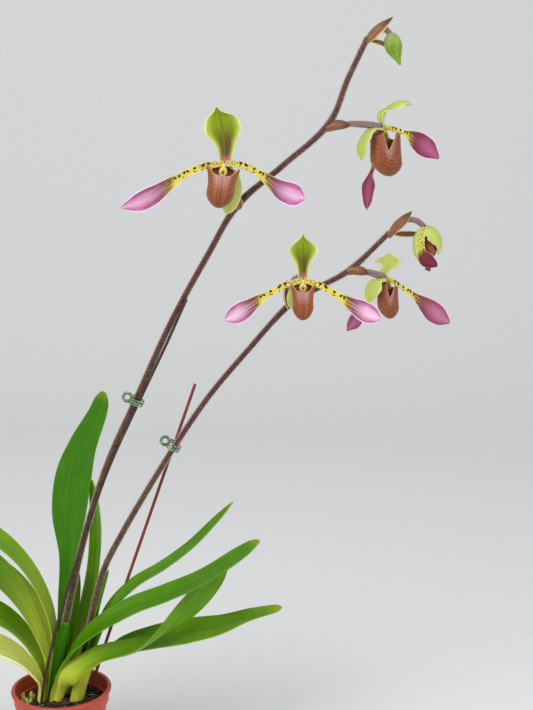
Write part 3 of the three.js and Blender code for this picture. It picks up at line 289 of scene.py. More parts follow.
STAKE_FOOT = 20.0
STAKES = {
    "stake_1": [(-18.6, -12, STAKE_FOOT), (-16.8, -12.4, 66), (-8.4, -13, 112), (2.2, -10.4, 152),
                (14, -6.8, 190), (28, -5.2, 232), (49.6, -4.9, 290), (79.6, -4.2, 354),
                (100.6, -4.2, 398), (118, -4.2, 436)],
    "stake_2": [(7.6, 20.6, STAKE_FOOT), (41, 21, 121), (82.4, 18, 240), (123.6, 14.6, 358)],
}
CLIPS = {
    "clip_1": {"scape": "scape_1", "stake": "stake_1", "height": 346},
    "clip_2": {"scape": "scape_2", "stake": "stake_2", "height": 302},
}
CLIP_SHARE = 0.45
FIBRES, FIBRE_LIMIT = 16, 35
SPRIGS, SPRIG_LIMIT = 9, 36

# A full-size pouch, from its toe up: half its width, how far it reaches to front and back from its
# middle, where that middle lies, and how high its rim stands from the front round to the back.
LIP_WIDTH = [10.5, 11.6, 12.3, 12, 12.8, 14.8, 16.4]
LIP_REACH = [10.5, 12.6, 13.8, 13.8, 13.2, 12.8, 13]
LIP_MIDDLE = [8, 6.8, 5, 4.2, 3.8, 3, 1.4]
LIP_RIM = [0.74, 0.74, 0.77, 0.87, 0.93, 0.72, 0.55, 0.8, 0.95, 0.97, 0.97]
LIP_TOE = 0.3
LIP_RIDGE = 0.28
LIP_RIDGES = 44
LIP_GROWTH = 1.15
FOLD_ANGLE, FOLD_WIDTH, FOLD_DIP = 1.75, 0.75, 0.3

DORSAL = {
    "half": [4.6, 6, 7.3, 9.2, 12.4, 14.9, 15.2, 13.7, 10, 3.2, 0.6],
    "wrap": [0.5, 0.4, 0.25, 0.3, 0.4],
}
PETAL = {"wrap": [0.4, 0.3, 0.2, 0.2, 0.3]}
NEAR_PETAL = {
    **PETAL,
    "side": [(0, 0.3, -0.95), (-0.1, 0.3, -0.95), (-0.3, 0.15, -0.9), (-0.5, 0, -0.85),
             (-0.56, 0, -0.83)],
    "half": [2.4, 2.2, 2.1, 2.1, 2.6, 5.2, 7.7, 8.6, 8, 4.8, 0.7],
}

# turn and lean are degrees, pouch and slim scale the pouch, and tones are the margin, middle and
# rim of the petals' blades.
BLOOMS = {
    "a": {
        "centre": (152, -34, 552), "turn": 0, "lean": 8, "pouch": 0.86, "slim": 1.05,
        "tones": [(188, 92, 158), (240, 184, 214), (250, 236, 244)],
        "ovary": [(160.6, -5.4, 518), (159.4, -8, 532), (156.4, -14, 545), (153, -23, 551.6),
                  (152, -35, 552)],
        "dorsal_sepal": {
            **DORSAL,
            "spine": [(153, -34, 553.6), (153, -32, 566), (151.4, -31, 578), (148.4, -33, 589),
                      (145.8, -38, 598)],
            "side": [(-1, 0, 0), (-1, 0, 0.1), (-1, 0, 0.25)],
        },
        "petal_left": {
            **PETAL,
            "spine": [(151.8, -35, 552), (136, -38, 549.8), (121, -40, 544), (107, -40, 535.4),
                      (93, -38, 526.4), (80, -36, 520), (66, -34, 516)],
            "side": [(0.2, 0, -1), (0.3, 0.1, -0.95), (0.4, 0.25, -0.85), (0.4, 0.35, -0.82),
                     (0.35, 0.35, -0.85)],
            "half": [2.2, 2.5, 2.7, 3, 3.6, 5.2, 7.2, 8.8, 8.6, 5.2, 0.6],
        },
        "petal_right": {
            **PETAL,
            "spine": [(152.6, -35, 552), (166, -36, 550.8), (178, -32, 545.4), (188, -27, 538),
                      (198, -20, 530), (208, -15, 525.6), (219, -12, 522)],
            "side": [(0.2, 0, 1), (0.3, 0, 0.95), (0.4, 0.1, 0.9), (0.2, 0.1, 0.95),
                     (0.2, 0.1, 0.95)],
            "half": [2.2, 2.5, 2.7, 3, 3.5, 4.7, 6.9, 9, 9.9, 8.4, 0.7],
        },
        "synsepal": {
            "spine": [(152.6, -28.4, 547), (156, -21, 543), (156.6, -19, 531), (155, -19.4, 518),
                      (153, -22, 509.6)],
            "side": [(-1, 0, 0), (-1, 0, 0.1)],
            "half": [3.4, 6.6, 9.6, 7.6, 1], "wrap": [0.9, 0.4, 0.4, 0.5],
        },
    },
    "b": {
        "centre": (284.5, 16, 581), "turn": 118, "lean": 0, "pouch": 1.0, "slim": 1.0,
        "tones": [(142, 44, 88), (172, 84, 124), (240, 206, 220)],
        "ovary": [(243.6, 2, 583), (253, 5, 583.6), (264, 8, 583.4), (274, 11, 582.6),
                  (284.6, 16, 581)],
        "dorsal_sepal": {
            "spine": [(286, 15.4, 582), (285.6, 15.4, 587), (286.6, 16, 592.6), (291.4, 17, 599),
                      (298.4, 19, 602.6), (305.6, 20.6, 602.6), (310.4, 22, 599)],
            "side": [(0.3, -0.95, 0), (0.35, -0.93, 0), (0.3, -0.95, 0), (0.25, -0.96, 0)],
            "half": [2.6, 5, 7.4, 8.8, 9, 8.6, 5.6, 0.8],
            "wrap": [-0.9, -1.3, -1.2, 0.3, 1.2, 1.3, 1.2, 0.8],
        },
        "petal_left": {
            **NEAR_PETAL,
            "spine": [(286.2, 13.4, 580.7), (293, 2, 579.2), (299, -10, 577), (305.6, -21, 573.2),
                      (312, -31, 568.2), (318.8, -39.4, 562.4), (325.5, -46, 556)],
        },
        "petal_right": {
            **PETAL,
            "spine": [(283.4, 18.9, 579.5), (281, 31, 569.6), (279.9, 40, 558), (280, 45, 546.5),
                      (278.6, 47.4, 538), (276.8, 48.6, 525), (275.4, 49.2, 508.3)],
            "side": [(0.4, 0.6, 0.6), (0.9, 0.3, 0.2), (0.9, -0.2, 0), (0.5, -0.85, 0),
                     (0.62, -0.78, 0), (0.65, -0.75, 0)],
            "half": [2.4, 2.6, 2.8, 3, 3.1, 2.4, 2.6, 6.6, 8.6, 7, 0.7],
        },
        "synsepal": {
            "spine": [(284.4, 11.4, 580), (275.4, 7, 579.6), (268.6, 7, 572.4), (266, 8.4, 562),
                      (267.5, 10, 552.4)],
            "side": [(-0.4, 0.9, 0), (-0.5, 0.86, 0), (-0.6, 0.8, 0)],
            "half": [4, 5.4, 7.6, 7, 0.8], "wrap": [0.8, 0.6, 0.5, 0.5],
        },
    },
    "c": {
        "centre": (217, -22, 455), "turn": 0, "lean": 0, "pouch": 0.8, "slim": 0.88,
        "tones": [(196, 104, 162), (250, 204, 224), (250, 230, 240)],
        "ovary": [(206.3, 5.8, 431), (207, 1.4, 443), (209.6, -4.6, 451.6), (213.6, -12, 455.4),
                  (217, -23, 455)],
        "dorsal_sepal": {
            **DORSAL,
            "spine": [(217, -22, 456.8), (217, -20, 467), (217, -19, 477), (217, -20.6, 486),
                      (217, -24, 494)],
            "side": [(-1, 0, 0), (-1, 0, 0)],
            "half": [4, 4.6, 5.3, 6.8, 9.2, 11.6, 12.4, 10.4, 6, 1.8, 0.5],
        },
        "petal_left": {
            **PETAL,
            "spine": [(216.7, -23, 455), (202, -27, 451), (189, -29, 444.6), (178, -28.6, 438),
                      (168.6, -27, 431.4), (160, -25.6, 425.6), (151, -24, 421)],
            "side": [(0.2, 0, -1), (0.4, 0.1, -0.9), (0.5, 0.2, -0.85), (0.5, 0.2, -0.85),
                     (0.5, 0.1, -0.85)],
            "half": [2.2, 2.4, 2.6, 2.8, 3.4, 5, 7, 8.5, 8.7, 6.4, 0.7],
        },
        "petal_right": {
            **PETAL,
            "spine": [(217.4, -23, 455), (231, -27, 451), (243.6, -29, 444), (254.6, -28.6, 437),
                      (264.6, -27, 431), (273.6, -25.6, 426), (283, -24, 422)],
            "side": [(0.2, 0, 1), (0.4, 0.1, 0.9), (0.5, 0.2, 0.85), (0.45, 0.2, 0.85),
                     (0.45, 0.1, 0.85)],
            "half": [2.2, 2.4, 2.6, 2.8, 3.4, 5, 7, 8.5, 8.7, 6.4, 0.7],
        },
        "synsepal": {
            "spine": [(216.6, -18.4, 451), (212.6, -13, 446.6), (209.4, -10.6, 440.4),
                      (207.8, -10, 434), (207.2, -10.4, 428.6)],
            "side": [(-1, 0, 0), (-1, 0, 0)],
            "half": [3.4, 5.4, 5.2, 4, 0.8], "wrap": [0.9, 0.4, 0.4, 0.5],
        },
    },
    "d": {
        "centre": (289, 10, 453), "turn": 118, "lean": 0, "pouch": 0.87, "slim": 0.79,
        "tones": [(152, 66, 104), (184, 108, 140), (240, 206, 220)],
        "ovary": [(261, 10, 460.4), (268, 8.8, 459), (275.6, 7.4, 457.4), (283, 7.4, 455.4),
                  (290, 10.6, 453)],
        "dorsal_sepal": {
            "spine": [(287.6, 9.6, 455), (289.2, 10.4, 459.6), (291.8, 11.6, 463.6),
                      (292.2, 12.6, 467.4), (292.8, 14, 473.6)],
            "side": [(0.9, -0.42, 0.08), (0.92, -0.38, 0.1), (0.94, -0.3, 0.12)],
            "half": [3.7, 3.9, 4.3, 5.1, 6.4, 8.4, 10.6, 12.4, 10.2, 5.4, 0.8],
            "wrap": [-0.2, -0.4, -0.4, -0.3],
        },
        "petal_left": {
            **NEAR_PETAL,
            "spine": [(289.7, 8.3, 452.9), (297, -3, 449.6), (304.4, -14, 445.4),
                      (312.4, -25, 440.2), (321.2, -35, 433.2), (329.4, -43, 427),
                      (337.4, -48.9, 422.4)],
            "half": [2.4, 2.1, 2.1, 2.2, 2.4, 3.4, 6.3, 8.6, 8.5, 5.8, 0.7],
        },
        "petal_right": {
            **PETAL,
            "spine": [(287.8, 12.9, 451.4), (283.6, 25, 442), (278.4, 35, 432), (273, 43, 422),
                      (268.4, 48, 413), (264, 51, 405.6), (259, 53, 399)],
            "side": [(0.4, 0.6, 0.6), (0.6, 0.6, 0.3), (0.8, 0.4, -0.4), (0.75, 0.45, -0.5),
                     (0.75, 0.4, -0.5)],
            "half": [2.4, 2.5, 2.7, 3, 3.5, 4.6, 6.2, 7.6, 7.4, 4.6, 0.7],
        },
        "synsepal": {
            "spine": [(287.6, 6.4, 453), (281, 3, 451.6), (277, 1.6, 445), (275.2, 1.8, 437.6),
                      (275.8, 3, 431.4)],
            "side": [(-0.5, 0.86, 0), (-0.75, 0.6, 0), (-0.8, 0.6, 0)],
            "half": [5, 7, 8.4, 6, 0.8], "wrap": [0.8, 0.6, 0.4, 0.4],
        },
    },
}
OVARY_GIRTH = [(0, 1.8), (0.25, 2.1), (0.5, 2.8), (0.8, 3.1), (0.97, 2.9), (1, 2.2)]

BUD_E = {
    "tones": [(100, 22, 44), (128, 40, 64), (222, 150, 168)],
    "ovary": [(295.4, 8.6, 493.6), (301, 6, 500), (307, 2.6, 503.4), (314, -1.6, 502.6),
              (320, -4.4, 498)],
    "dorsal_sepal": {
        "spine": [(321, -4.8, 499.4), (328, -5, 497), (333.4, -5, 490.8), (335, -5, 482.4),
                  (332.4, -5.6, 474.4)],
        "side": [(0, -1, 0), (0, -1, 0)],
        "half": [10, 12.8, 14.8, 15, 14.4, 12.8, 10.2, 5.8, 0.8], "wrap": [1.9, 2.15, 2.2, 2, 1.2],
    },
    "synsepal": {
        "spine": [(316.4, -2.4, 496.4), (312, -2.4, 489.6), (311, -2.6, 481.6), (312.6, -3, 474),
                  (316.4, -3.6, 468.6)],
        "side": [(0, 1, 0), (0, 1, 0)],
        "half": [3, 6.5, 7.5, 5.5, 0.8], "wrap": [0.8, 0.8, 0.8, 0.6],
    },
    "petal_left": {
        "spine": [(319.6, -7, 498), (316.4, -11.4, 487), (317.2, -13, 477.6), (322.2, -13, 470),
                  (331, -11, 465.4)],
        "side": [(-0.8, 0.6, 0), (-1, 0.2, 0), (-0.95, 0.1, -0.2), (-0.8, 0.1, -0.6),
                 (-0.6, 0.1, -0.8)],
        "half": [2.2, 3.2, 3.8, 6.6, 1.8], "wrap": [0.3, 0.3, 0.5, 0.6],
    },
    "petal_right": {
        "spine": [(320.6, 1.4, 493), (319.4, 4, 484), (322, 4.4, 473), (327.6, 1, 464.6),
                  (321.6, -4, 461.6)],
        "side": [(0.8, 0.6, 0), (1, 0.2, 0), (0.8, 0.2, 0.4), (0.2, 0.5, 0.8)],
        "half": [2, 4, 5, 5, 1], "wrap": [0.3, 0.3, 0.4, 0.4],
    },
    "lip": [(320.9, -4, 496.9), (322.4, -3.2, 488), (324.8, -3, 480.4), (326.6, -3.6, 472)],
}
BUD_LIP_GIRTH = [(0, 1.6), (0.2, 2.8), (0.5, 4.6), (0.75, 5.6), (0.92, 4.6), (1, 2)]

BUD_F = {
    "ovary": [(271.9, -0.3, 655), (278, -1.4, 658.6), (284.4, -2.8, 660.2), (289, -3.9, 656)],
    "bud": [(288.9, -4, 657.4), (290.2, -4.5, 650), (292.6, -5, 642.6), (297, -5.4, 631.3)],
}
PEDICEL_GIRTH = [(0, 1.6), (0.5, 1.9), (0.9, 2.2), (1, 1.8)]
BUD_F_GIRTH = [
    (0, 2), (0.06, 4.2), (0.2, 6.4), (0.42, 7.3), (0.62, 6.8), (0.78, 4.4), (0.88, 2.2), (1, 0.8),
]


# Settings

def number(name, description, default, unit):
    return FloatProperty(name=name, description=description, default=default, min=0.0, unit=unit)


def length(name, description, default):
    return number(name, description, default, "LENGTH")


def colour(name, description, red, green, blue):
    return FloatVectorProperty(
        name=name, description=description, default=srgb(red, green, blue),
        size=3, min=0.0, max=1.0, subtype="COLOR",
    )


class PotSettings(bpy.types.PropertyGroup):
    """Sizes and colours of the pot and its bark."""

    height: length("Height", "Height of the pot", 0.080)
    lip_radius: length("Lip radius", "Outer radius of the rolled lip", 0.045)
    collar_radius: length("Collar radius", "Outer radius of the collar", 0.0428)
    base_radius: length("Base radius", "Outer radius of the base", 0.032)
    wall: length("Wall", "Thickness of the plastic", 0.0013)
    mix_height: length("Bark height", "Height of the bark at the pot's wall", 0.066)
    plastic: colour("Plastic", "Colour of the pot", 186, 74, 52)
    bark: colour("Bark", "Main colour of the bark", 52, 34, 24)
    chips: IntProperty(name="Chips", description="Number of loose bark chips", default=420, min=0)


class LeafSettings(bpy.types.PropertyGroup):
    """Sizes and colours of the leaves."""

    thickness: length("Thickness", "Thickness of a leaf blade", 0.001)
    dark: colour("Dark green", "Darkest tone of a healthy leaf", 30, 92, 0)
    green: colour("Green", "Main tone of a healthy leaf", 56, 124, 0)
    light: colour("Light green", "Tone of a yellower leaf", 134, 176, 22)
    base: colour("Foot", "Pale colour where a leaf leaves the bark", 226, 232, 84)
    # The old leaf colour is set brighter than the leaf's own yellow, as painted light on it.
    old: colour("Old leaf", "Colour of a yellowing leaf", 255, 250, 150)


class StemSettings(bpy.types.PropertyGroup):
    """Colours and hairs of the flower stems."""

    skin: colour("Stem", "Dark maroon brown of the flower stems", 70, 26, 14)
    lower: colour("Lower stem", "Olive brown low on the stems", 104, 84, 40)
    bract: colour("Bract", "Papery bracts at the nodes", 156, 102, 62)
    hair: colour("Hair", "Short silvery hairs", 232, 210, 200)
    hair_length: length("Hair length", "Length of the short hairs", 0.0011)
    hairs: IntProperty(name="Hairs", description="Hairs on each stem", default=7500, min=0)
    twig: colour("Twig stake", "Mottled bark of the twig stake", 62, 44, 30)
    stick: colour("Red stake", "Red brown stick", 140, 58, 44)
    wire: colour("Clip wire", "Green plastic of the wire clips", 48, 104, 52)


class BloomSettings(bpy.types.PropertyGroup):
    """Sizes and colours of the blooms."""

    sepal_thickness: length("Sepal thickness", "Thickness of a sepal", 0.0009)
    petal_thickness: length("Petal thickness", "Thickness of a petal", 0.0008)
    lip_depth: length("Pouch depth", "Depth of a full-size pouch", 0.042)
    lip_wall: length("Pouch wall", "Thickness of the pouch", 0.001)
    sepal: colour("Sepal", "Green of the upper sepal", 142, 166, 14)
    lower_sepal: colour("Lower sepal", "Paler green of the lower sepals", 188, 204, 66)
    sepal_edge: colour("Sepal edge", "Cream margin of the sepals", 232, 234, 168)
    sepal_foot: colour("Sepal foot", "Maroon veins at the foot of the upper sepal", 84, 44, 22)
    petal_yellow: colour("Petal yellow", "Inner half of a petal", 224, 212, 92)
    petal_spot: colour("Petal spots", "Maroon spots on the inner half", 64, 12, 14)
    lip: colour("Pouch", "Red brown of the pouch", 150, 78, 34)
    # The pouch bloom colour is a painted sheen: a pale mauve highlight laid on the pouch's front.
    lip_sheen: colour("Pouch bloom", "Pale mauve bloom on the pouch's front", 196, 146, 148)
    column: colour("Shield", "Yellow shield over the column", 236, 214, 90)
    ovary: colour("Ovary", "Hairy stalk behind a bloom", 132, 104, 104)
    bud: colour("Bud", "Green of the closed bud", 128, 162, 30)


class StageSettings(bpy.types.PropertyGroup):
    """Camera, lights and backdrop."""

    lens: number("Lens", "Focal length of the camera", 65.0, "CAMERA")
    distance: length("Camera distance", "How far the camera stands in front", 1.0909)
    floor: colour("Floor", "Pale floor and backdrop", 242, 242, 240)
    key: number("Key light", "Power of the large lamp", 28.5, "POWER")
    fill: number("Fill light", "Power of the softer lamp", 10.0, "POWER")


# Runs, blades and stems

FLOAT_LAYERS = ("across", "along", "under", "flank")
VECTOR_LAYERS = ("spread", "lower")
MERGE = 0.01
TIP_CROWDING = 1.5
LEAST_HALF = 0.5
LEAST_WRAP = 0.02
CHANNEL_WIDTH = 0.13
HAIR_FOOT = 0.13
HAIR_TIP = 0.03
HAIR_ROOT = 0.12


def glide(rows, t):
    """A smooth run through evenly spaced rows of numbers or vectors, t from 0 to 1."""
    last = len(rows) - 1
    place = min(max(t, 0.0), 1.0) * last
    i = min(int(place), last - 1)
    f = place - i
    b = rows[i]
    c = rows[i + 1]
    a = rows[i - 1] if i > 0 else b * 2 - c
    d = rows[i + 2] if i + 2 <= last else c * 2 - b
    bend = (a * 2 - b * 5 + c * 4 - d) * (f * f) + (b * 3 - a - c * 3 + d) * (f * f * f)
    return b + ((c - a) * f + bend) * 0.5


def smooth(low, high, value):
    share = min(max((value - low) / (high - low), 0.0), 1.0)
    return share * share * (3 - 2 * share)


def vectors(rows):
    return [Vector(row) for row in rows]


def direction(path, t):
    step = 0.004
    return (glide(path, min(t + step, 1)) - glide(path, max(t - step, 0))).normalized()


def squared(side, run):
    """The side direction, turned square to the run."""
    return (side - run * side.dot(run)).normalized()


def path_length(path):
    steps = 60
    points = [glide(path, i / steps) for i in range(steps + 1)]
    return sum((b - a).length for a, b in zip(points, points[1:]))


def path_at_height(path, height):
    """The point where a rising path passes a height, and its direction there."""
    low, high = 0.0, 1.0
    for _ in range(30):
        middle = (low + high) / 2
        if glide(path, middle).z < height:
            low = middle
        else:
            high = middle
    return glide(path, low), direction(path, low)


def piece_layers(bm, *extra):
    """The values that a piece keeps on its vertices, and any extra ones of its own."""
    floats = bm.verts.layers.float
    vector = bm.verts.layers.float_vector
    layers = {name: floats.get(name) or floats.new(name) for name in FLOAT_LAYERS + extra}
    for name in VECTOR_LAYERS:
        layers[name] = vector.get(name) or vector.new(name)
    return layers


def lay_grid(bm, columns, rows):
    """A flat grid. Each vertex keeps its place across (-1 to 1) and along (0 to 1)."""
    layers = piece_layers(bm)
    made = bmesh.ops.create_grid(bm, x_segments=columns, y_segments=rows, size=1)["verts"]
    for vert in made:
        vert[layers["across"]] = vert.co.x
        vert[layers["along"]] = (vert.co.y + 1) / 2
    return made


def add_underside(bm, faces):
    """Gives a sheet its thickness: the new skin lies where each vertex keeps its lower place."""
    layers = piece_layers(bm)
    bm.normal_update()
    old = set(bm.verts)
    bmesh.ops.solidify(bm, geom=faces, thickness=0.5)
    for vert in bm.verts:
        if vert not in old:
            vert.co = vert[layers["lower"]]
            vert[layers["under"]] = 1


def blade_frame(blade, spine, sides, share):
    """A blade's cross line: its t, middle, side direction, upward direction and half width."""
    t = 1 - (1 - share) ** TIP_CROWDING
    run = direction(spine, t)
    side = squared(glide(sides, t), run)
    half = max(glide(blade["half"], t), LEAST_HALF)
    blunt = blade["blunt"]
    if t > 1 - blunt:
        half *= math.sqrt(max(1 - ((t - 1 + blunt) / blunt) ** 2, 0.0))
    return t, glide(spine, t), side, run.cross(side), half


def blade_relief(blade, t, across, half):
    """How far a blade's rippled margin, keel and midrib channel lift it off its plain arc."""
    waves = math.tau * blade.get("waves", 0) * t + (0 if across > 0 else 2)
    swing = blade.get("ripple", 0) * math.sin(waves) * smooth(0, 0.2, t)
    ripple = swing * abs(across) ** 3 * min(half / 4, 1)
    keel = blade.get("keel", 0) * half * (abs(across) - 1)
    groove = math.exp(-((across / CHANNEL_WIDTH) ** 2)) * min(half / 6, 1)
    return ripple + keel - blade.get("channel", 0) * groove


def make_blade(bm, blade, columns, rows, thick, material=0):
    """A leaf-like blade. Its section is an arc that is hollow on the upper face."""
    layers = piece_layers(bm)
    before = set(bm.faces)
    verts = lay_grid(bm, columns, rows)
    spine = vectors(blade["spine"])
    sides = vectors(blade["side"])
    run_length = path_length(spine)
    frames = {}
    for vert in verts:
        share = vert[layers["along"]]
        key = round(share, 5)
        if key not in frames:
            frames[key] = blade_frame(blade, spine, sides, share)
        t, middle, side, up, half = frames[key]
        across = -vert[layers["across"]]
        wrap = glide(blade["wrap"], t)
        bend = LEAST_WRAP if abs(wrap) < LEAST_WRAP else wrap
        radius = half / bend
        turn = bend * across
        sine, cosine = math.sin(turn), math.cos(turn)
        shape = radius * (1 - cosine) + blade_relief(blade, t, across, half)
        lower, upper = (
            middle + side * ((radius - lift) * sine) + up * (shape + lift * cosine)
            for lift in (-thick / 2, thick / 2)
        )
        vert.co = upper
        vert[layers["lower"]] = lower
        vert[layers["along"]] = t
        vert[layers["spread"]] = (across * half, t * run_length, 0)
    bmesh.ops.remove_doubles(bm, verts=verts, dist=MERGE)
    add_underside(bm, [face for face in bm.faces if face not in before])
    for face in bm.faces:
        if face not in before:
            face.material_index = material


def girth_at(girth, t):
    """The radius at t from rows of place and radius, half eased between them."""
    for (t0, r0), (t1, r1) in zip(girth, girth[1:]):
        if t <= t1:
            share = (t - t0) / (t1 - t0)
            return r0 + (r1 - r0) * (smooth(0, 1, share) + share) / 2
    return girth[-1][1]


def stem_reference(points):
    """The direction that angles round a stem are counted from: the one it runs along least."""
    chord = points[-1] - points[0]
    return Vector((1, 0, 0)) if abs(chord.x) < abs(chord.y) else Vector((0, 1, 0))


def stem_frame(points, reference, t):
    run = direction(points, t)
    side = squared(reference, run)
    return glide(points, t), run, side, side.cross(run)


def make_stem(bm, path, radius, sides, rows, material=0):
    """A closed stem along a path. radius is a function of the place along and the angle round."""
    layers = piece_layers(bm)
    before = set(bm.faces)
    verts = lay_grid(bm, sides, rows)
    points = vectors(path)
    reference = stem_reference(points)
    total = path_length(points)
    frames = {}
    for vert in verts:
        t = vert[layers["along"]]
        key = round(t, 5)
        if key not in frames:
            frames[key] = stem_frame(points, reference, t)
        middle, _, side, up = frames[key]
        angle = (vert[layers["across"]] + 1) * math.pi
        size = radius(t, angle)
        vert.co = middle + side * (size * math.sin(angle)) + up * (size * math.cos(angle))
        vert[layers["spread"]] = (math.sin(angle) * 3, t * total, math.cos(angle) * 3)
        vert[layers["flank"]] = abs(math.cos(angle))
    bmesh.ops.remove_doubles(bm, verts=verts, dist=0.002)
    faces = [face for face in bm.faces if face not in before]
    rim = [edge for edge in {e for face in faces for e in face.edges} if edge.is_boundary]
    if rim:
        bmesh.ops.holes_fill(bm, edges=rim, sides=0)
    faces = [face for face in bm.faces if face not in before]
    bmesh.ops.recalc_face_normals(bm, faces=faces)
    for face in faces:
        face.material_index = material


def pour(bm, batch):
    mesh = bpy.data.meshes.new("batch")
    batch.to_mesh(mesh)
    batch.free()
    bm.from_mesh(mesh)
    bpy.data.meshes.remove(mesh)


def batches(bm, count):
    """Yields a small bmesh for each of many shapes, which are quicker to make in batches."""
    batch = bmesh.new()
    for i in range(count):
        if i % BATCH == BATCH - 1:
            pour(bm, batch)
            batch = bmesh.new()
        yield batch
    pour(bm, batch)


def add_hairs(bm, path, radius, count, size, seed, start, end):
    """Short tapered hairs that stand out of a stem and lean a little to its tip."""
    rng = random.Random(seed)
    points = vectors(path)
    reference = stem_reference(points)
    for batch in batches(bm, count):
        t = rng.uniform(start, end)
        angle = rng.uniform(0, math.tau)
        middle, run, side, up = stem_frame(points, reference, t)
        out = side * math.sin(angle) + up * math.cos(angle)
        lean = run * rng.uniform(0.1, 0.7) + side * rng.uniform(-0.3, 0.3)
        aim = (out + lean).normalized()
        tall = size * rng.uniform(0.6, 1.25)
        foot = middle + out * (radius(t, angle) - HAIR_ROOT)
        turn = aim.to_track_quat("Z", "Y").to_matrix().to_4x4()
        place = Matrix.Translation(foot + aim * (tall / 2)) @ turn
        made = bmesh.ops.create_cone(
            batch, cap_ends=True, cap_tris=True, segments=3,
            radius1=HAIR_FOOT, radius2=HAIR_TIP, depth=tall, matrix=place,
        )
        for face in {f for vert in made["verts"] for f in vert.link_faces}:
            face.material_index = 1


def turn_profile(bm, outline, steps):
    """Spins rows of radius and height once round the pot's axis and closes the shape."""
    verts = [bm.verts.new((radius, 0, z)) for radius, z in outline]
    edges = [bm.edges.new(pair) for pair in zip(verts, verts[1:])]
    bmesh.ops.spin(bm, geom=verts + edges, cent=(0, 0, 0), axis=(0, 0, 1),
                   angle=math.tau, steps=steps, use_merge=True, use_duplicate=False)
    bmesh.ops.remove_doubles(bm, verts=bm.verts, dist=MERGE)
    bmesh.ops.recalc_face_normals(bm, faces=bm.faces)


def to_mesh(bm, name, scale=METRES):
    """Turns a bmesh into a mesh in metres."""
    bmesh.ops.scale(bm, vec=(scale, scale, scale), verts=bm.verts)
    mesh = bpy.data.meshes.new(name)
    bm.to_mesh(mesh)
    bm.free()
    return mesh


def linked(name, data):
    made = bpy.data.objects.new(name, data)
    bpy.context.scene.collection.objects.link(made)
    return made


def finish_piece(bm, node, slot, materials, sharp=60, name=""):
    """Makes a piece that rides on the plant and stands for a solid."""
    name = name or "fine_" + node
    lower = bm.verts.layers.float_vector.get("lower")
    if lower:
        bm.verts.layers.float_vector.remove(lower)
    mesh = to_mesh(bm, name)
    mesh.shade_smooth()
    mesh.set_sharp_from_angle(angle=math.radians(sharp))
    for material in materials:
        mesh.materials.append(material)
    piece = linked(name, mesh)
    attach(piece, BODY)
    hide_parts(node)
    return piece


# Materials

MIX_SHARE, MIX_FIRST, MIX_SECOND, MIX_COLOUR = 0, 6, 7, 2
DOWN_TINT = (1.0, 0.86, 0.82, 1.0)

LEAF_TIP = srgb(170, 176, 40)
OLD_STREAK = srgb(214, 176, 66)
OLD_BLOTCH = srgb(196, 206, 80)
# Pale hairs and a painted rim highlight on the stems' flanks.
STEM_DOWN_AND_RIM_LIGHT = srgb(196, 164, 152)
BRACT_TIP = srgb(84, 30, 26)
BRACT_EDGE = srgb(214, 196, 130)
SEPAL_SIDE = srgb(206, 212, 104)
SEPAL_PINK = srgb(196, 100, 110)
PETAL_MARGIN = srgb(244, 234, 160)
PETAL_DOT = srgb(122, 34, 26)
PETAL_BROWN = srgb(112, 48, 40)
BUD_YELLOW = srgb(196, 204, 84)
POUCH_BACK = srgb(176, 96, 108)
POUCH_EDGE = srgb(222, 176, 110)
POUCH_INSIDE = srgb(168, 110, 80)
SHIELD_EYE = srgb(120, 62, 22)
# White of the column's cap, also a painted glint at the top of the column.
COLUMN_CAP_AND_GLINT = srgb(250, 226, 226)
OVARY_GREEN = srgb(130, 140, 70)
BUD_GREY = srgb(150, 162, 104)
POT_DUST = srgb(206, 160, 130)
BARK_PATCH = srgb(112, 74, 46)
FIBRE = (srgb(150, 120, 84), srgb(222, 206, 172))
SPRIG = (srgb(150, 160, 50), srgb(220, 222, 130))
TWIG_FLECK = srgb(128, 104, 78)
STICK_FLECK = srgb(176, 96, 76)
# Pale green speckles painted on the clip wire as highlights.
WIRE_HIGHLIGHT = srgb(160, 194, 146)

# Rows of large spots on a petal: how far above its midline they lie, how far apart, how large,
# and the shares of its length where the row starts and ends.
SPOT_ROWS = ((1.0, 4.3, 1.15, 0.06, 0.5), (-1.9, 6.3, 0.6, 0.14, 0.44))
POUCH_FOLDS = 62.0


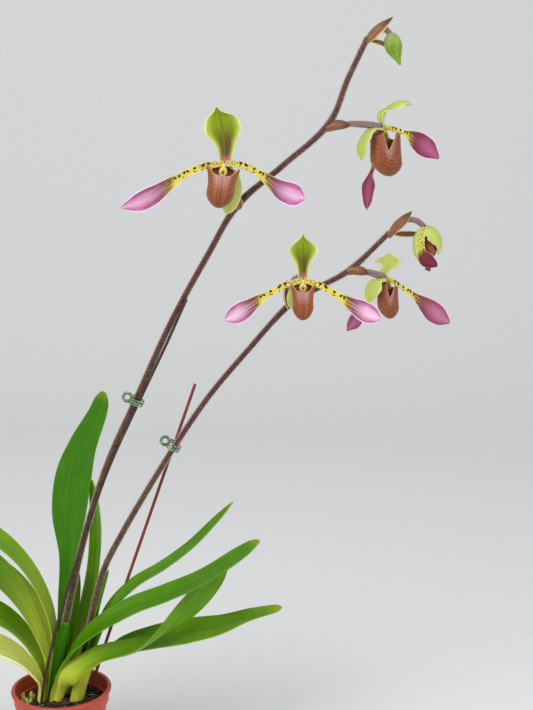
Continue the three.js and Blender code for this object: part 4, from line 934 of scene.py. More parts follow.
class Finish:
    """Builds one procedural material, node by node."""

    def __init__(self, name):
        self.material = bpy.data.materials.new(name)
        self.material.use_nodes = True
        self.tree = self.material.node_tree
        self.shader = self.tree.nodes["Principled BSDF"]

    def node(self, kind, **inputs):
        made = self.tree.nodes.new(kind)
        for key, value in inputs.items():
            self.feed(made.inputs[key.replace("_", " ")], value)
        return made

    def feed(self, socket, value):
        if isinstance(value, bpy.types.NodeSocket):
            self.tree.links.new(value, socket)
        elif socket.type == "RGBA" and len(value) == 3:
            socket.default_value = (*value, 1)
        else:
            socket.default_value = value

    def attribute(self, name, output="Fac"):
        made = self.node("ShaderNodeAttribute")
        made.attribute_name = name
        return made.outputs[output]

    def spread(self, scale):
        """Millimetres across and along the piece, stretched by a scale."""
        vector = self.attribute("spread", "Vector")
        return self.node("ShaderNodeMapping", Vector=vector, Scale=scale).outputs["Vector"]

    def noise(self, vector, scale, detail, roughness):
        made = self.node("ShaderNodeTexNoise", Vector=vector, Scale=scale, Detail=detail,
                         Roughness=roughness)
        return made.outputs["Fac"]

    def streaks(self, scale, detail=3.0, roughness=0.6):
        """Noise that follows the piece."""
        return self.noise(self.spread(scale), 1.0, detail, roughness)

    def grain(self, scale, detail=3.0, roughness=0.5, stretch=(1, 1, 1)):
        """Noise in the space round the piece."""
        place = self.node("ShaderNodeTexCoord").outputs["Object"]
        place = self.node("ShaderNodeMapping", Vector=place, Scale=stretch).outputs["Vector"]
        return self.noise(place, scale, detail, roughness)

    def spot_row(self, across, along, middle, spacing, radius):
        """One irregular row of round spots along a petal, middle mm from its midline."""
        made = self.tree.nodes.new("ShaderNodeTexVoronoi")
        made.voronoi_dimensions = "1D"
        self.feed(made.inputs["W"], self.maths("DIVIDE", along, spacing))
        self.feed(made.inputs["Scale"], 1.0)
        gap = self.times(made.outputs["Distance"], spacing)
        off = self.maths("SUBTRACT", across, middle)
        away = self.maths("SQRT", self.plus(self.times(gap, gap), self.times(off, off)))
        return self.fade(away, radius - 0.15, radius + 0.15, 1.0, 0.0)

    def fade(self, value, low, high, start=0.0, end=1.0):
        """Goes smoothly from start to end as the value goes from low to high."""
        made = self.node("ShaderNodeMapRange", Value=value, From_Min=low, From_Max=high,
                         To_Min=start, To_Max=end)
        made.interpolation_type = "SMOOTHSTEP"
        return made.outputs["Result"]

    def maths(self, operation, first, second=0.0):
        made = self.tree.nodes.new("ShaderNodeMath")
        made.operation = operation
        self.feed(made.inputs[0], first)
        self.feed(made.inputs[1], second)
        return made.outputs[0]

    def plus(self, first, second):
        return self.maths("ADD", first, second)

    def times(self, first, second):
        return self.maths("MULTIPLY", first, second)

    def size(self, value):
        return self.maths("ABSOLUTE", value)

    def blend(self, share, first, second):
        made = self.tree.nodes.new("ShaderNodeMix")
        made.data_type = "RGBA"
        self.feed(made.inputs[MIX_SHARE], share)
        self.feed(made.inputs[MIX_FIRST], first)
        self.feed(made.inputs[MIX_SECOND], second)
        return made.outputs[MIX_COLOUR]

    def coat(self, body, tint, value, low, high, start=0.0, end=1.0):
        """Lays a tint over the body colour by a share that fades with a value."""
        return self.blend(self.fade(value, low, high, start, end), body, tint)

    def shaded(self, tint, dark, bright, value, low, high):
        """A tint that goes from a darker to a brighter tone of itself with a value."""
        return self.coat(tinted(tint, dark), tinted(tint, bright), value, low, high)

    def relief(self, height, distance, strength):
        made = self.node("ShaderNodeBump", Height=height, Distance=distance, Strength=strength)
        self.feed(self.shader.inputs["Normal"], made.outputs["Normal"])

    def finish(self, body, roughness, **sockets):
        for key, value in {"Base_Color": body, "Roughness": roughness, **sockets}.items():
            self.feed(self.shader.inputs[key.replace("_", " ")], value)
        return self.material

    def living(self, body, roughness, glow, weight=0.1, **sockets):
        """Finishes living tissue. glow is how far red, green and blue light go in."""
        return self.finish(body, roughness, Subsurface_Weight=weight, Subsurface_Scale=0.002,
                           Subsurface_Radius=glow, **sockets)


def tinted(colour, factor):
    return tuple(min(value * factor, 1.0) for value in colour)


def mixed(first, second, share):
    return tuple(a + (b - a) * share for a, b in zip(first, second))


def leaf_finish(name, tone, foot_end, settings):
    """Waxy leaf: a pale foot, long veins and a pale midrib. tone runs from dark to yellow green."""
    finish = Finish(name)
    along = finish.attribute("along")
    across = finish.size(finish.attribute("across"))
    veins = finish.streaks((1.5, 0.012, 1))
    mottle = finish.grain(55.0, 3.0, 0.6)
    light = mixed(settings.green, settings.light, tone)
    deep = mixed(settings.dark, light, 0.3 + 0.4 * tone)
    body = finish.coat(deep, light, veins, 0.3, 0.7)
    body = finish.coat(body, tinted(light, 1.25), mottle, 0.35, 0.75, 0.0, 0.35)
    body = finish.coat(body, mixed(settings.dark, light, 0.15), across, 0.04, 0.16, 0.45, 0.0)
    body = finish.coat(body, tinted(light, 1.35), across, 0.0, 0.05, 0.55, 0.0)
    body = finish.coat(body, tinted(light, 1.5), across, 0.9, 1.0, 0.0, 0.35)
    body = finish.blend(finish.times(finish.attribute("under"), 0.55), body, tinted(light, 0.9))
    foot = finish.times(finish.fade(along, foot_end * 0.25, foot_end, 0.92, 0.0),
                        finish.fade(across, 0.3, 1.0, 1.0, 0.72))
    body = finish.blend(foot, body, settings.base)
    body = finish.coat(body, LEAF_TIP, along, 0.93, 1.0, 0.0, 0.3 + 0.4 * tone)
    finish.relief(finish.plus(veins, finish.times(mottle, 0.4)), 0.0004, 0.35)
    return finish.living(body, finish.fade(mottle, 0.3, 0.7, 0.36, 0.5), (0.7, 1.0, 0.05),
                         Specular_IOR_Level=0.22)


def old_leaf_finish(name, settings):
    """Yellowing leaf: pale yellow, brightened past its own colour as painted light, with orange and
    green streaks.
    """
    finish = Finish(name)
    streaks = finish.streaks((0.9, 0.01, 1))
    # Painted light: the yellow is lifted further, standing in for the light that falls on the leaf.
    body = finish.coat(tinted(settings.old, 1.15), OLD_STREAK, streaks, 0.45, 0.8, 0.0, 0.6)
    body = finish.coat(body, OLD_BLOTCH, finish.grain(40.0, 4.0, 0.6), 0.55, 0.8, 0.0, 0.3)
    body = finish.coat(body, settings.base, finish.attribute("along"), 0.05, 0.25, 0.4, 0.0)
    finish.relief(streaks, 0.0005, 0.5)
    return finish.living(body, 0.5, (1.0, 0.7, 0.2), 0.2)


def stem_finish(name, settings):
    """Maroon brown skin with pale hairs and a painted rim highlight on its flanks, olive and
    flecked low on the stem.
    """
    finish = Finish(name)
    along = finish.attribute("along")
    flecks = finish.streaks((0.9, 0.25, 0.9), 4.0, 0.7)
    body = finish.shaded(settings.skin, 0.8, 1.4, flecks, 0.35, 0.7)
    low = finish.coat(tinted(settings.skin, 0.7), settings.lower, flecks, 0.4, 0.62)
    body = finish.coat(body, low, along, 0.3, 0.62, 0.9, 0.0)
    # Painted rim highlight: the flanks are painted pale, partly for the silvery hairs and partly
    # for the light along the stem's edges.
    down_and_rim_light = finish.times(finish.fade(finish.attribute("flank"), 0.55, 0.95),
                        finish.fade(along, 0.1, 0.5, 0.25, 0.6))
    body = finish.blend(down_and_rim_light, body, STEM_DOWN_AND_RIM_LIGHT)
    finish.relief(flecks, 0.0004, 0.6)
    return finish.finish(body, 0.62, Sheen_Weight=1.0, Sheen_Roughness=0.3, Sheen_Tint=DOWN_TINT)


def hair_finish(name, tint):
    finish = Finish(name)
    return finish.finish(finish.shaded(tint, 0.8, 1.15, finish.grain(300.0, 2.0), 0.3, 0.7), 0.5)


def bract_finish(name, settings):
    """Papery bract: brown with darker veins, a maroon tip and a yellowish margin."""
    finish = Finish(name)
    veins = finish.streaks((0.9, 0.09, 1))
    across = finish.size(finish.attribute("across"))
    body = finish.shaded(settings.bract, 0.4, 1.1, veins, 0.38, 0.62)
    body = finish.coat(body, BRACT_TIP, finish.attribute("along"), 0.55, 0.95, 0.0, 0.8)
    body = finish.coat(body, BRACT_EDGE, across, 0.78, 0.95, 0.0, 0.85)
    finish.relief(veins, 0.0004, 0.5)
    return finish.finish(body, 0.6, Sheen_Weight=0.2)


def sepal_finish(name, settings, green, foot_strength):
    """Green sepal with fine veins, a cream margin, a maroon stain and a pink foot."""
    finish = Finish(name)
    along = finish.attribute("along")
    across = finish.size(finish.attribute("across"))
    edge = settings.sepal_edge
    wander = finish.streaks((0.2, 0.08, 1), 2.0, 0.5)
    veins = finish.streaks((1.9, 0.03, 1), 2.0)
    body = finish.shaded(green, 0.66, 1.05, veins, 0.38, 0.62)
    body = finish.coat(body, tinted(green, 1.25), wander, 0.4, 0.7, 0.0, 0.25)
    body = finish.coat(body, SEPAL_SIDE, across, 0.45, 0.95, 0.0, 0.65)
    lines = finish.plus(0.5, finish.times(finish.fade(veins, 0.46, 0.56), 0.8))
    stain = finish.times(finish.fade(along, 0.2, 0.75, 1.0, 0.0),
                         finish.fade(across, 0.25, 0.95, 1.0, 0.0))
    keel = finish.times(finish.fade(across, 0.0, 0.07, 0.7, 0.0),
                        finish.fade(along, 0.6, 0.95, 1.0, 0.0))
    stain = finish.maths("MAXIMUM", finish.times(stain, lines), keel)
    body = finish.blend(finish.times(stain, foot_strength), body, settings.sepal_foot)
    body = finish.coat(body, SEPAL_PINK, along, 0.02, 0.13, 0.85 * foot_strength, 0.0)
    margin = finish.plus(across, finish.fade(along, 0.35, 0.75, -0.04, 0.03))
    body = finish.coat(body, edge, margin, 0.86, 0.97, 0.0, 0.95)
    body = finish.coat(body, edge, along, 0.965, 1.0, 0.0, 0.8)
    body = finish.blend(finish.times(finish.attribute("under"), 0.3), body, tinted(edge, 0.8))
    finish.relief(veins, 0.0004, 0.5)
    return finish.living(body, 0.48, (0.8, 1.0, 0.3), Specular_IOR_Level=0.25)


def petal_finish(name, settings, tones, in_bud=False):
    """Yellow inner half with maroon spots and a blade in three tones: margin, middle and rim."""
    finish = Finish(name)
    along = finish.attribute("along")
    signed = finish.attribute("across")
    across = finish.size(signed)
    parts = finish.node("ShaderNodeSeparateXYZ", Vector=finish.attribute("spread", "Vector"))
    height, run = parts.outputs["X"], parts.outputs["Y"]
    veins = finish.streaks((1.5, 0.02, 1), 2.0)
    yellow = BUD_YELLOW if in_bud else settings.petal_yellow
    mauve, pink, rim = (srgb(*tone) for tone in tones)

    inner = finish.coat(yellow, tinted(yellow, 0.72), veins, 0.35, 0.65, 0.0, 0.35)
    inner = finish.coat(inner, PETAL_MARGIN, across, 0.7, 1.0, 0.0, 0.5)
    dots = finish.node("ShaderNodeTexVoronoi", Vector=finish.spread((0.55, 0.42, 1)), Scale=1.0)
    dots.voronoi_dimensions = "2D"
    dotted = (0.36, 0.5) if in_bud else (0.14, 0.26)
    small = finish.times(finish.fade(dots.outputs["Distance"], 0.2, 0.3, 1.0, 0.0),
                         finish.fade(along, *dotted, 0.9, 0.0))
    inner = finish.blend(small, inner, PETAL_DOT)
    wander = finish.streaks((0.02, 0.3, 1), 2.0, 0.5)
    high = finish.maths("SUBTRACT", height, finish.fade(wander, 0.3, 0.7, -0.5, 0.9))
    for middle, spacing, radius, start, end in () if in_bud else SPOT_ROWS:
        row = finish.spot_row(high, run, middle, spacing, radius)
        span = finish.times(finish.fade(along, start, start + 0.05),
                            finish.fade(along, end - 0.04, end, 1.0, 0.0))
        inner = finish.blend(finish.times(row, span), inner, settings.petal_spot)

    blade = finish.coat(pink, mauve, across, 0.1, 0.85)
    blade = finish.coat(blade, tinted(mauve, 0.75), veins, 0.5, 0.62, 0.0, 0.45)
    patch = finish.streaks((0.25, 0.1, 1), 2.0, 0.5)
    blade = finish.coat(blade, tinted(pink, 1.1), patch, 0.45, 0.7, 0.0, 0.25)
    blade = finish.coat(blade, rim, across, 0.9, 0.96)

    slant = finish.plus(along, finish.times(signed, 0.04))
    body = finish.coat(inner, blade, slant, 0.5, 0.58)
    brown = finish.times(finish.fade(slant, 0.42, 0.5), finish.fade(slant, 0.52, 0.84, 1.0, 0.0))
    brown = finish.times(brown, finish.fade(veins, 0.4, 0.54, 0.3, 1.0))
    brown = finish.times(brown, finish.fade(across, 0.85, 0.97, 0.95, 0.2))
    body = finish.blend(brown, body, PETAL_BROWN)
    finish.relief(veins, 0.0004, 0.5)
    return finish.living(body, 0.45, (1.0, 0.5, 0.6), Specular_IOR_Level=0.25)


def lip_finish(name, settings, folded):
    """Polished red brown pouch with a painted mauve sheen by its mouth and painted shade in the
    creases of its folds. folded (0 to 1) sets how far folds replace upright veins.
    """
    finish = Finish(name)
    along = finish.attribute("along")
    front = finish.attribute("front")
    brown = settings.lip
    veins = finish.streaks((1.5, 0.3, 1.5), 2.0)
    height = finish.times(finish.attribute("fold"), POUCH_FOLDS)
    contour = finish.maths("SINE", finish.plus(height, finish.times(veins, 2.5)))
    # Painted shade: the creases between the pouch's folds are painted dark and their crests
    # lighter.
    crease_shade = finish.times(finish.fade(contour, 0.0, 0.9),
                          finish.fade(front, -0.95, -0.3, 0.2 * folded, 0.85 * folded))
    body = finish.blend(crease_shade, tinted(brown, 1.12), tinted(brown, 0.45))
    streaks = finish.times(finish.fade(veins, 0.46, 0.56), finish.fade(along, 0.2, 0.75, 0.85, 0.3))
    streaks = finish.times(streaks, 1 - 0.75 * folded)
    body = finish.blend(streaks, body, tinted(brown, 0.36))

    # Painted sheen: pale mauve laid by the pouch's mouth and rim, where its gloss catches the
    # light.
    rim = finish.fade(along, 0.55, 0.9)
    if folded > 0.5:
        mouth = finish.fade(finish.size(finish.plus(front, 0.25)), 0.2, 0.65, 0.8, 0.0)
    else:
        mouth = finish.fade(front, 0.62, 0.97)
    glint = finish.fade(veins, 0.36, 0.5, 0.95, 0.5)
    body = finish.blend(finish.times(finish.times(rim, mouth), glint), body, settings.lip_sheen)
    back = finish.times(finish.times(finish.fade(front, -0.45, -0.9), rim), 0.75 - 0.5 * folded)
    body = finish.blend(back, body, POUCH_BACK)
    body = finish.coat(body, POUCH_EDGE, along, 0.97, 1.0, 0.0, 0.8)
    body = finish.blend(finish.times(finish.attribute("under"), 0.5), body, POUCH_INSIDE)
    finish.relief(finish.plus(veins, finish.times(contour, -0.6 * folded)), 0.0006, 0.6)
    return finish.living(body, 0.36, (1.0, 0.5, 0.3), Specular_IOR_Level=0.35, Coat_Weight=0.12,
                         Coat_Roughness=0.2)


def shield_finish(name, settings):
    """Yellow shield with a brown eye in its middle and a warty surface."""
    finish = Finish(name)
    warts = finish.grain(900.0, 3.0, 0.6)
    body = finish.shaded(settings.column, 0.8, 1.0, warts, 0.3, 0.7)
    body = finish.coat(body, SHIELD_EYE, finish.attribute("eye"), 0.3, 0.85)
    finish.relief(warts, 0.0005, 0.6)
    return finish.finish(body, 0.45, Coat_Weight=0.2)


def ovary_finish(name, tint):
    """Ribbed hairy stalk, purplish with green showing through."""
    finish = Finish(name)
    streaks = finish.streaks((0.7, 0.05, 0.7))
    body = finish.shaded(tint, 0.7, 1.2, streaks, 0.35, 0.65)
    body = finish.coat(body, OVARY_GREEN, streaks, 0.6, 0.8, 0.0, 0.4)
    finish.relief(streaks, 0.0004, 0.5)
    return finish.finish(body, 0.65, Sheen_Weight=0.4, Sheen_Roughness=0.5)


def bud_finish(name, tint):
    """Downy green bud, greyer towards its stalk, with fine streaks."""
    finish = Finish(name)
    veins = finish.streaks((0.8, 0.08, 0.8))
    body = finish.shaded(tint, 0.75, 1.15, veins, 0.35, 0.65)
    body = finish.coat(body, BUD_GREY, finish.attribute("along"), 0.0, 0.6, 0.7, 0.0)
    finish.relief(veins, 0.0005, 0.5)
    return finish.finish(body, 0.55, Subsurface_Weight=0.1, Subsurface_Scale=0.002,
                         Sheen_Weight=0.5, Sheen_Roughness=0.3)


def plastic_finish(name, tint):
    """Nursery pot plastic: fine grain, faint flow marks and dust."""
    finish = Finish(name)
    dust = finish.grain(160.0, 4.0, 0.7)
    body = finish.shaded(tint, 0.88, 1.1, finish.grain(30.0, stretch=(1, 1, 6)), 0.3, 0.7)
    body = finish.coat(body, POT_DUST, dust, 0.6, 0.8, 0.0, 0.25)
    finish.relief(finish.grain(900.0, 3.0, 0.6), 0.0002, 0.3)
    return finish.finish(body, finish.fade(dust, 0.3, 0.8, 0.42, 0.6), Specular_IOR_Level=0.45)


def bark_finish(name, tint):
    finish = Finish(name)
    rings = finish.grain(260.0, 5.0, 0.7, (1, 1, 2))
    body = finish.shaded(tint, 0.45, 1.5, rings, 0.35, 0.7)
    body = finish.coat(body, BARK_PATCH, finish.grain(70.0, 2.0), 0.5, 0.75, 0.0, 0.6)
    finish.relief(rings, 0.001, 0.9)
    return finish.finish(body, 0.9)


def two_tone_finish(name, tones, scale, roughness, **sockets):
    finish = Finish(name)
    return finish.finish(finish.coat(*tones, finish.grain(scale), 0.35, 0.7), roughness, **sockets)


def twig_finish(name, tint, pale):
    """Stake: long grain with worn, paler flecks."""
    finish = Finish(name)
    grain = finish.streaks((1.2, 0.06, 1.2), 4.0, 0.7)
    flecks = finish.streaks((0.5, 0.12, 0.5), 3.0, 0.7)
    body = finish.shaded(tint, 0.6, 1.3, grain, 0.35, 0.7)
    body = finish.coat(body, pale, flecks, 0.55, 0.7, 0.0, 0.6)
    finish.relief(grain, 0.0006, 0.8)
    return finish.finish(body, 0.75)


# Pieces

def leaf_blade(leaf):
    """Adds the two rows at a leaf's foot, on a ring round its growth, to its own rows."""
    growth = leaf["growth"]
    angle = math.radians(leaf["degrees"])
    foot = []
    for height in (POCKET_FLOOR + GAP, POCKET_FLOOR + FOOT_RISE):
        middle = growth["x"] + growth["lean"] * (height - POCKET_FLOOR)
        foot.append((middle + leaf["ring"] * math.cos(angle),
                     growth["y"] + leaf["ring"] * math.sin(angle), height))
    return {
        "channel": 0.5,
        **leaf,
        "spine": foot + leaf["spine"],
        "side": [(-math.sin(angle), math.cos(angle), 0)] + leaf["side"],
    }


def stand_on(bm, level):
    for vert in bm.verts:
        vert.co.z = max(vert.co.z, level)


def keep_within(point, limit):
    """Pulls a point of the bark back inside the pot."""
    flat = math.hypot(point.x, point.y)
    if flat > limit:
        point.x *= limit / flat
        point.y *= limit / flat


def blade_piece(node, slot, skin, blade, columns, rows, thick):
    bm = bmesh.new()
    make_blade(bm, blade, columns, rows, thick)
    finish_piece(bm, node, slot, [skin])


class ORCHID_OT_pot(bpy.types.Operator):
    """Turns the pot from its profile and pierces its drain holes"""

    bl_idname = "orchid.pot"
    bl_label = "Pot"

    def execute(self, context):
        pot = context.scene.orchid_pot
        bm = bmesh.new()
        piece_layers(bm)
        turn_profile(bm, self.profile(pot), 112)
        piece = finish_piece(bm, "pot", "pot", [plastic_finish("pot plastic", pot.plastic)], 40)
        pierce(piece, holes=8, circle=24.0, radius=3.0)
        return {"FINISHED"}

    @staticmethod
    def profile(pot):
        """Radius and height rows from the middle of the floor, out, up, over the lip and back."""
        height = pot.height * MM
        lip = pot.lip_radius * MM
        collar = pot.collar_radius * MM
        base = pot.base_radius * MM
        wall = pot.wall * MM
        floor = 1.6
        step = height - 13.5
        body = collar - 2.2
        lip_foot = height - 3
        return [
            (0, 0), (base - 1.2, 0), (base - 0.35, 0.3), (base, 1.1), (body, step - 1.2),
            (body + 0.5, step - 0.4), (collar - 0.9, step - 0.1), (collar - 0.35, step + 0.5),
            (collar, lip_foot - 0.4), (collar + 0.4, lip_foot), (lip - 0.7, lip_foot),
            (lip - 0.15, lip_foot + 0.3), (lip, lip_foot + 0.9), (lip, height - 1),
            (lip - 0.25, height - 0.4), (lip - 0.9, height), (collar - wall + 0.8, height),
            (collar - wall + 0.2, height - 0.25), (collar - wall, height - 0.9),
            (collar - wall - 0.6, step + wall + 0.3), (body - wall + 0.2, step + wall - 0.4),
            (body - wall, step + wall - 1.2), (base - wall, floor), (0, floor),
        ]


def pierce(piece, holes, circle, radius):
    """Cuts a ring of round holes through the pot's floor and keeps the result as plain mesh."""
    bm = bmesh.new()
    for i in range(holes):
        angle = i / holes * math.tau
        place = Matrix.Translation((circle * math.cos(angle), circle * math.sin(angle), 0.8))
        bmesh.ops.create_cone(bm, cap_ends=True, segments=24, radius1=radius, radius2=radius,
                              depth=6, matrix=place)
    drills = linked("drills", to_mesh(bm, "drills"))
    cutter = piece.modifiers.new("drain holes", "BOOLEAN")
    cutter.object = drills
    cutter.operation = "DIFFERENCE"
    cutter.solver = "EXACT"
    bpy.context.view_layer.update()
    evaluated = piece.evaluated_get(bpy.context.evaluated_depsgraph_get())
    cut = bpy.data.meshes.new_from_object(evaluated)
    piece.modifiers.clear()
    piece.data = cut
    bpy.data.objects.remove(drills)


class ORCHID_OT_bark(bpy.types.Operator):
    """Fills the pot with bark chips, a few pale fibres and small sprigs"""

    bl_idname = "orchid.bark"
    bl_label = "Bark"

    def execute(self, context):
        pot = context.scene.orchid_pot
        level = pot.mix_height * MM
        rng = random.Random(BARK_SEED)
        bm = bmesh.new()
        turn_profile(bm, [
            (0, 1.9), (30.2, 1.9), (38.2, level - 2), (37.6, level - 1), (31, level),
            (24, level + 0.9), (16, level + 1.4), (8, level + 1.8), (0, level + 1.8),
        ], 64)
        for batch in batches(bm, pot.chips):
            self.add_chip(batch, rng, level)
        for _ in range(FIBRES):
            self.add_fibre(bm, rng, level)
        for _ in range(SPRIGS):
            self.add_sprig(bm, rng, level)
        materials = [
            bark_finish("bark", pot.bark),
            two_tone_finish("pale fibre", FIBRE, 400.0, 0.8),
            two_tone_finish("small sprigs", SPRIG, 500.0, 0.55),
        ]
        finish_piece(bm, "potting_mix", "mix", materials, 35, "fine_bark")
        return {"FINISHED"}

    @staticmethod
    def add_chip(bm, rng, level):
        radius = 35.5 * math.sqrt(rng.random())
        angle = rng.uniform(0, math.tau)
        size = rng.uniform(1.6, 4.2)
        place = Matrix.Translation((radius * math.cos(angle), radius * math.sin(angle),
                                    level + rng.uniform(-1.5, 2.2)))
        tilt = Euler((rng.uniform(-0.7, 0.7), rng.uniform(-0.7, 0.7), rng.uniform(0, 6.28)))
        long, wide = size * rng.uniform(0.8, 1.5), size * rng.uniform(0.5, 1)
        place = place @ tilt.to_matrix().to_4x4() @ Matrix.Diagonal((long, wide, size * 0.45, 1))
        made = bmesh.ops.create_icosphere(bm, subdivisions=2, radius=1)["verts"]
        shift = Vector((rng.uniform(0, 50), rng.uniform(0, 50), 0))
        for vert in made:
            rough = 1 + 0.45 * noise.noise(vert.co * 1.6 + shift)
            vert.co = place @ (vert.co * rough)
            vert.co.z = min(vert.co.z, level + 4.5)

    @staticmethod
    def add_fibre(bm, rng, level):
        angle = rng.uniform(0, math.tau)
        radius = rng.uniform(8, 30)
        heading = rng.uniform(0, math.tau)
        point = Vector((radius * math.cos(angle), radius * math.sin(angle), level + 2.4))
        path = []
        for _ in range(4):
            path.append(point.copy())
            heading += rng.uniform(-0.9, 0.9)
            rise = rng.uniform(-0.25, 0.25)
            point += Vector((math.cos(heading), math.sin(heading), rise)) * 3.2
            keep_within(point, FIBRE_LIMIT)
        make_stem(bm, path, lambda t, _: 0.38 - 0.2 * t, 6, 10, 1)

    @staticmethod
    def add_sprig(bm, rng, level):
        foot = Vector((rng.uniform(-37, -26), rng.uniform(-16, 2), level + 1))
        keep_within(foot, SPRIG_LIMIT)
        tip = foot + Vector((rng.uniform(-3, 3), rng.uniform(-3, 2), rng.uniform(6, 10)))
        middle = (foot + tip) / 2 + Vector((rng.uniform(-1, 1), 0, 0.8))
        blade = {"spine": [foot, middle, tip], "side": [(1, 0.2, 0), (1, -0.2, 0)],
                 "half": [0.5, 1.5, 0.7], "wrap": [0.5, 0.5], "blunt": 0.2}
        make_blade(bm, blade, 4, 8, 0.4, 2)


class ORCHID_OT_leaves(bpy.types.Operator):
    """Grows the strap leaves and the sheaths that clasp the flower stems"""

    bl_idname = "orchid.leaves"
    bl_label = "Leaves"

    def execute(self, context):
        settings = context.scene.orchid_leaves
        for name, leaf in LEAVES.items():
            bm = bmesh.new()
            make_blade(bm, leaf_blade(leaf), 18, 110, settings.thickness * MM)
            stand_on(bm, POCKET_FLOOR + GAP)
            if name == OLD_LEAF:
                slot, skin = "old_leaf", old_leaf_finish(name + " skin", settings)
            else:
                slot = "leaf"
                skin = leaf_finish(name + " skin", leaf["tone"], leaf["foot"], settings)
            finish_piece(bm, name, slot, [skin])
        return {"FINISHED"}


class ORCHID_OT_scapes(bpy.types.Operator):
    """Grows the two flower stems with their nodes, bracts and short hairs"""

    bl_idname = "orchid.scapes"
    bl_label = "Flower stems"

    def execute(self, context):
        settings = context.scene.orchid_stems
        size = settings.hair_length * MM
        skin = stem_finish("stem skin", settings)
        hair = hair_finish("stem hair", settings.hair)
        bract = bract_finish("bract skin", settings)
        for seed, (name, scape) in enumerate(SCAPES.items(), STEM_SEED):
            def radius(t, _angle, scape=scape):
                near = max(max(1 - abs(t - node) * NODE_SHARPNESS, 0) for node in scape["nodes"])
                return scape["foot"] + (scape["top"] - scape["foot"]) * t + NODE_SWELL * near

            bm = bmesh.new()
            make_stem(bm, scape["path"], radius, 18, 420)
            for leaflet in scape["bracts"]:
                make_blade(bm, {"blunt": 0.1, **leaflet}, 14, 26, BRACT_THICK, 2)
            add_hairs(bm, scape["path"], radius, settings.hairs, size, seed, 0.06, 1.0)
            finish_piece(bm, name, "scape", [skin, hair, bract])
        return {"FINISHED"}


class ORCHID_OT_stakes(bpy.types.Operator):
    """Sets the twig stake and the red stick"""

    bl_idname = "orchid.stakes"
    bl_label = "Stakes"

    def execute(self, context):
        settings = context.scene.orchid_stems

        def twig(t, angle):
            knots = 0.12 * math.sin(19 * t + 1) * math.sin(7 * t)
            return 1.42 - 0.2 * t + knots + 0.08 * math.sin(3 * angle + 30 * t)

        def stick(t, _angle):
            return 1.5 - 0.15 * t

        bm = bmesh.new()
        make_stem(bm, STAKES["stake_1"], twig, 14, 260)
        stand_on(bm, STAKE_FOOT)
        finish_piece(bm, "stake_1", "stake", [twig_finish("twig bark", settings.twig, TWIG_FLECK)])
        bm = bmesh.new()
        make_stem(bm, STAKES["stake_2"], stick, 14, 120)
        skin = twig_finish("red stick", settings.stick, STICK_FLECK)
        finish_piece(bm, "stake_2", "stake_red", [skin])
        return {"FINISHED"}


class ORCHID_OT_clips(bpy.types.Operator):
    """Winds the green wire clips round stem and stake"""

    bl_idname = "orchid.clips"
    bl_label = "Wire clips"

    def execute(self, context):
        # The wire's pale green speckles are painted highlights.
        tones = (context.scene.orchid_stems.wire, WIRE_HIGHLIGHT)
        wire = two_tone_finish("clip wire", tones, 300.0, 0.26,
                               Coat_Weight=0.6, Coat_Roughness=0.12)
        for name, clip in CLIPS.items():
            stem, run = path_at_height(vectors(SCAPES[clip["scape"]]["path"]), clip["height"])
            stick, _ = path_at_height(vectors(STAKES[clip["stake"]]), clip["height"])
            across = Vector((0, 1, 0)).cross(run).normalized()
            basis = Matrix((across, run.cross(across), run)).transposed().to_4x4()
            place = Matrix.Translation(stem.lerp(stick, CLIP_SHARE)) @ basis
            bm = bmesh.new()
            self.wind(bm, place, self.loop_point, turns=3, steps=12, wire=0.74, sides=8, rows=120)
            self.wind(bm, place, self.coil_point, turns=15, steps=8, wire=0.56, sides=6, rows=300)
            finish_piece(bm, name, "clip", [wire], 50)
        return {"FINISHED"}

    @staticmethod
    def wind(bm, place, point, turns, steps, wire, sides, rows):
        """Winds wire of a given radius along a point function of the angle and the share done."""
        last = turns * steps
        path = [place @ Vector(point(i / steps * math.tau, i / last)) for i in range(last + 1)]
        make_stem(bm, path, lambda t, _: wire, sides, rows)

    @staticmethod
    def loop_point(angle, share):
        """The loops round stem and stake."""
        ring, rise = 6.1, 3.1
        angle += math.pi
        return (ring * math.cos(angle) - 0.6, ring * math.sin(angle), (share - 0.5) * 2 * rise)

    @staticmethod
    def coil_point(angle, share):
        """The coiled eye beside them."""
        ring, coil = 3.7, 1.05
        big = share * math.tau * 0.94 + 0.1
        out = ring + coil * math.cos(angle)
        return (out * math.cos(big) - 9.45, coil * math.sin(angle), out * math.sin(big))


def lip_point(angle, rise, depth, inset):
    """A point of the pouch, inset into its wall: two horns in front, an inrolled claw behind."""
    side = math.sin(angle) ** 2 * smooth(0.15, 0.35, rise) * (1 - smooth(0.86, 0.98, rise))
    inset -= LIP_RIDGE * side * math.sin(LIP_RIDGES * rise + 1.5 * math.cos(2 * angle))
    share = rise * glide(LIP_RIM, abs(angle) / math.pi)
    z = -depth + depth * share + inset * (1 - smooth(0, 0.5, share))
    swell = math.sqrt(1 - (1 - min(share / LIP_TOE, 1)) ** 2)
    curl = smooth(0.82, 0.98, share) * smooth(-0.1, 0.6, -math.cos(angle))
    width = max(glide(LIP_WIDTH, share) * swell - inset, 0)
    reach = max(glide(LIP_REACH, share) * swell - inset, 0)
    x = width * math.sin(angle) * (1 - 0.7 * curl)
    forward = glide(LIP_MIDDLE, share) + reach * math.cos(angle) * (1 - 0.82 * curl)
    return Vector((x, -forward, z))


def bloom_place(bloom):
    turn = Matrix.Rotation(math.radians(bloom["turn"]), 4, "Z")
    lean = Matrix.Rotation(math.radians(bloom["lean"]), 4, "Y")
    return Matrix.Translation(bloom["centre"]) @ turn @ lean @ Matrix.Scale(bloom["pouch"], 4)


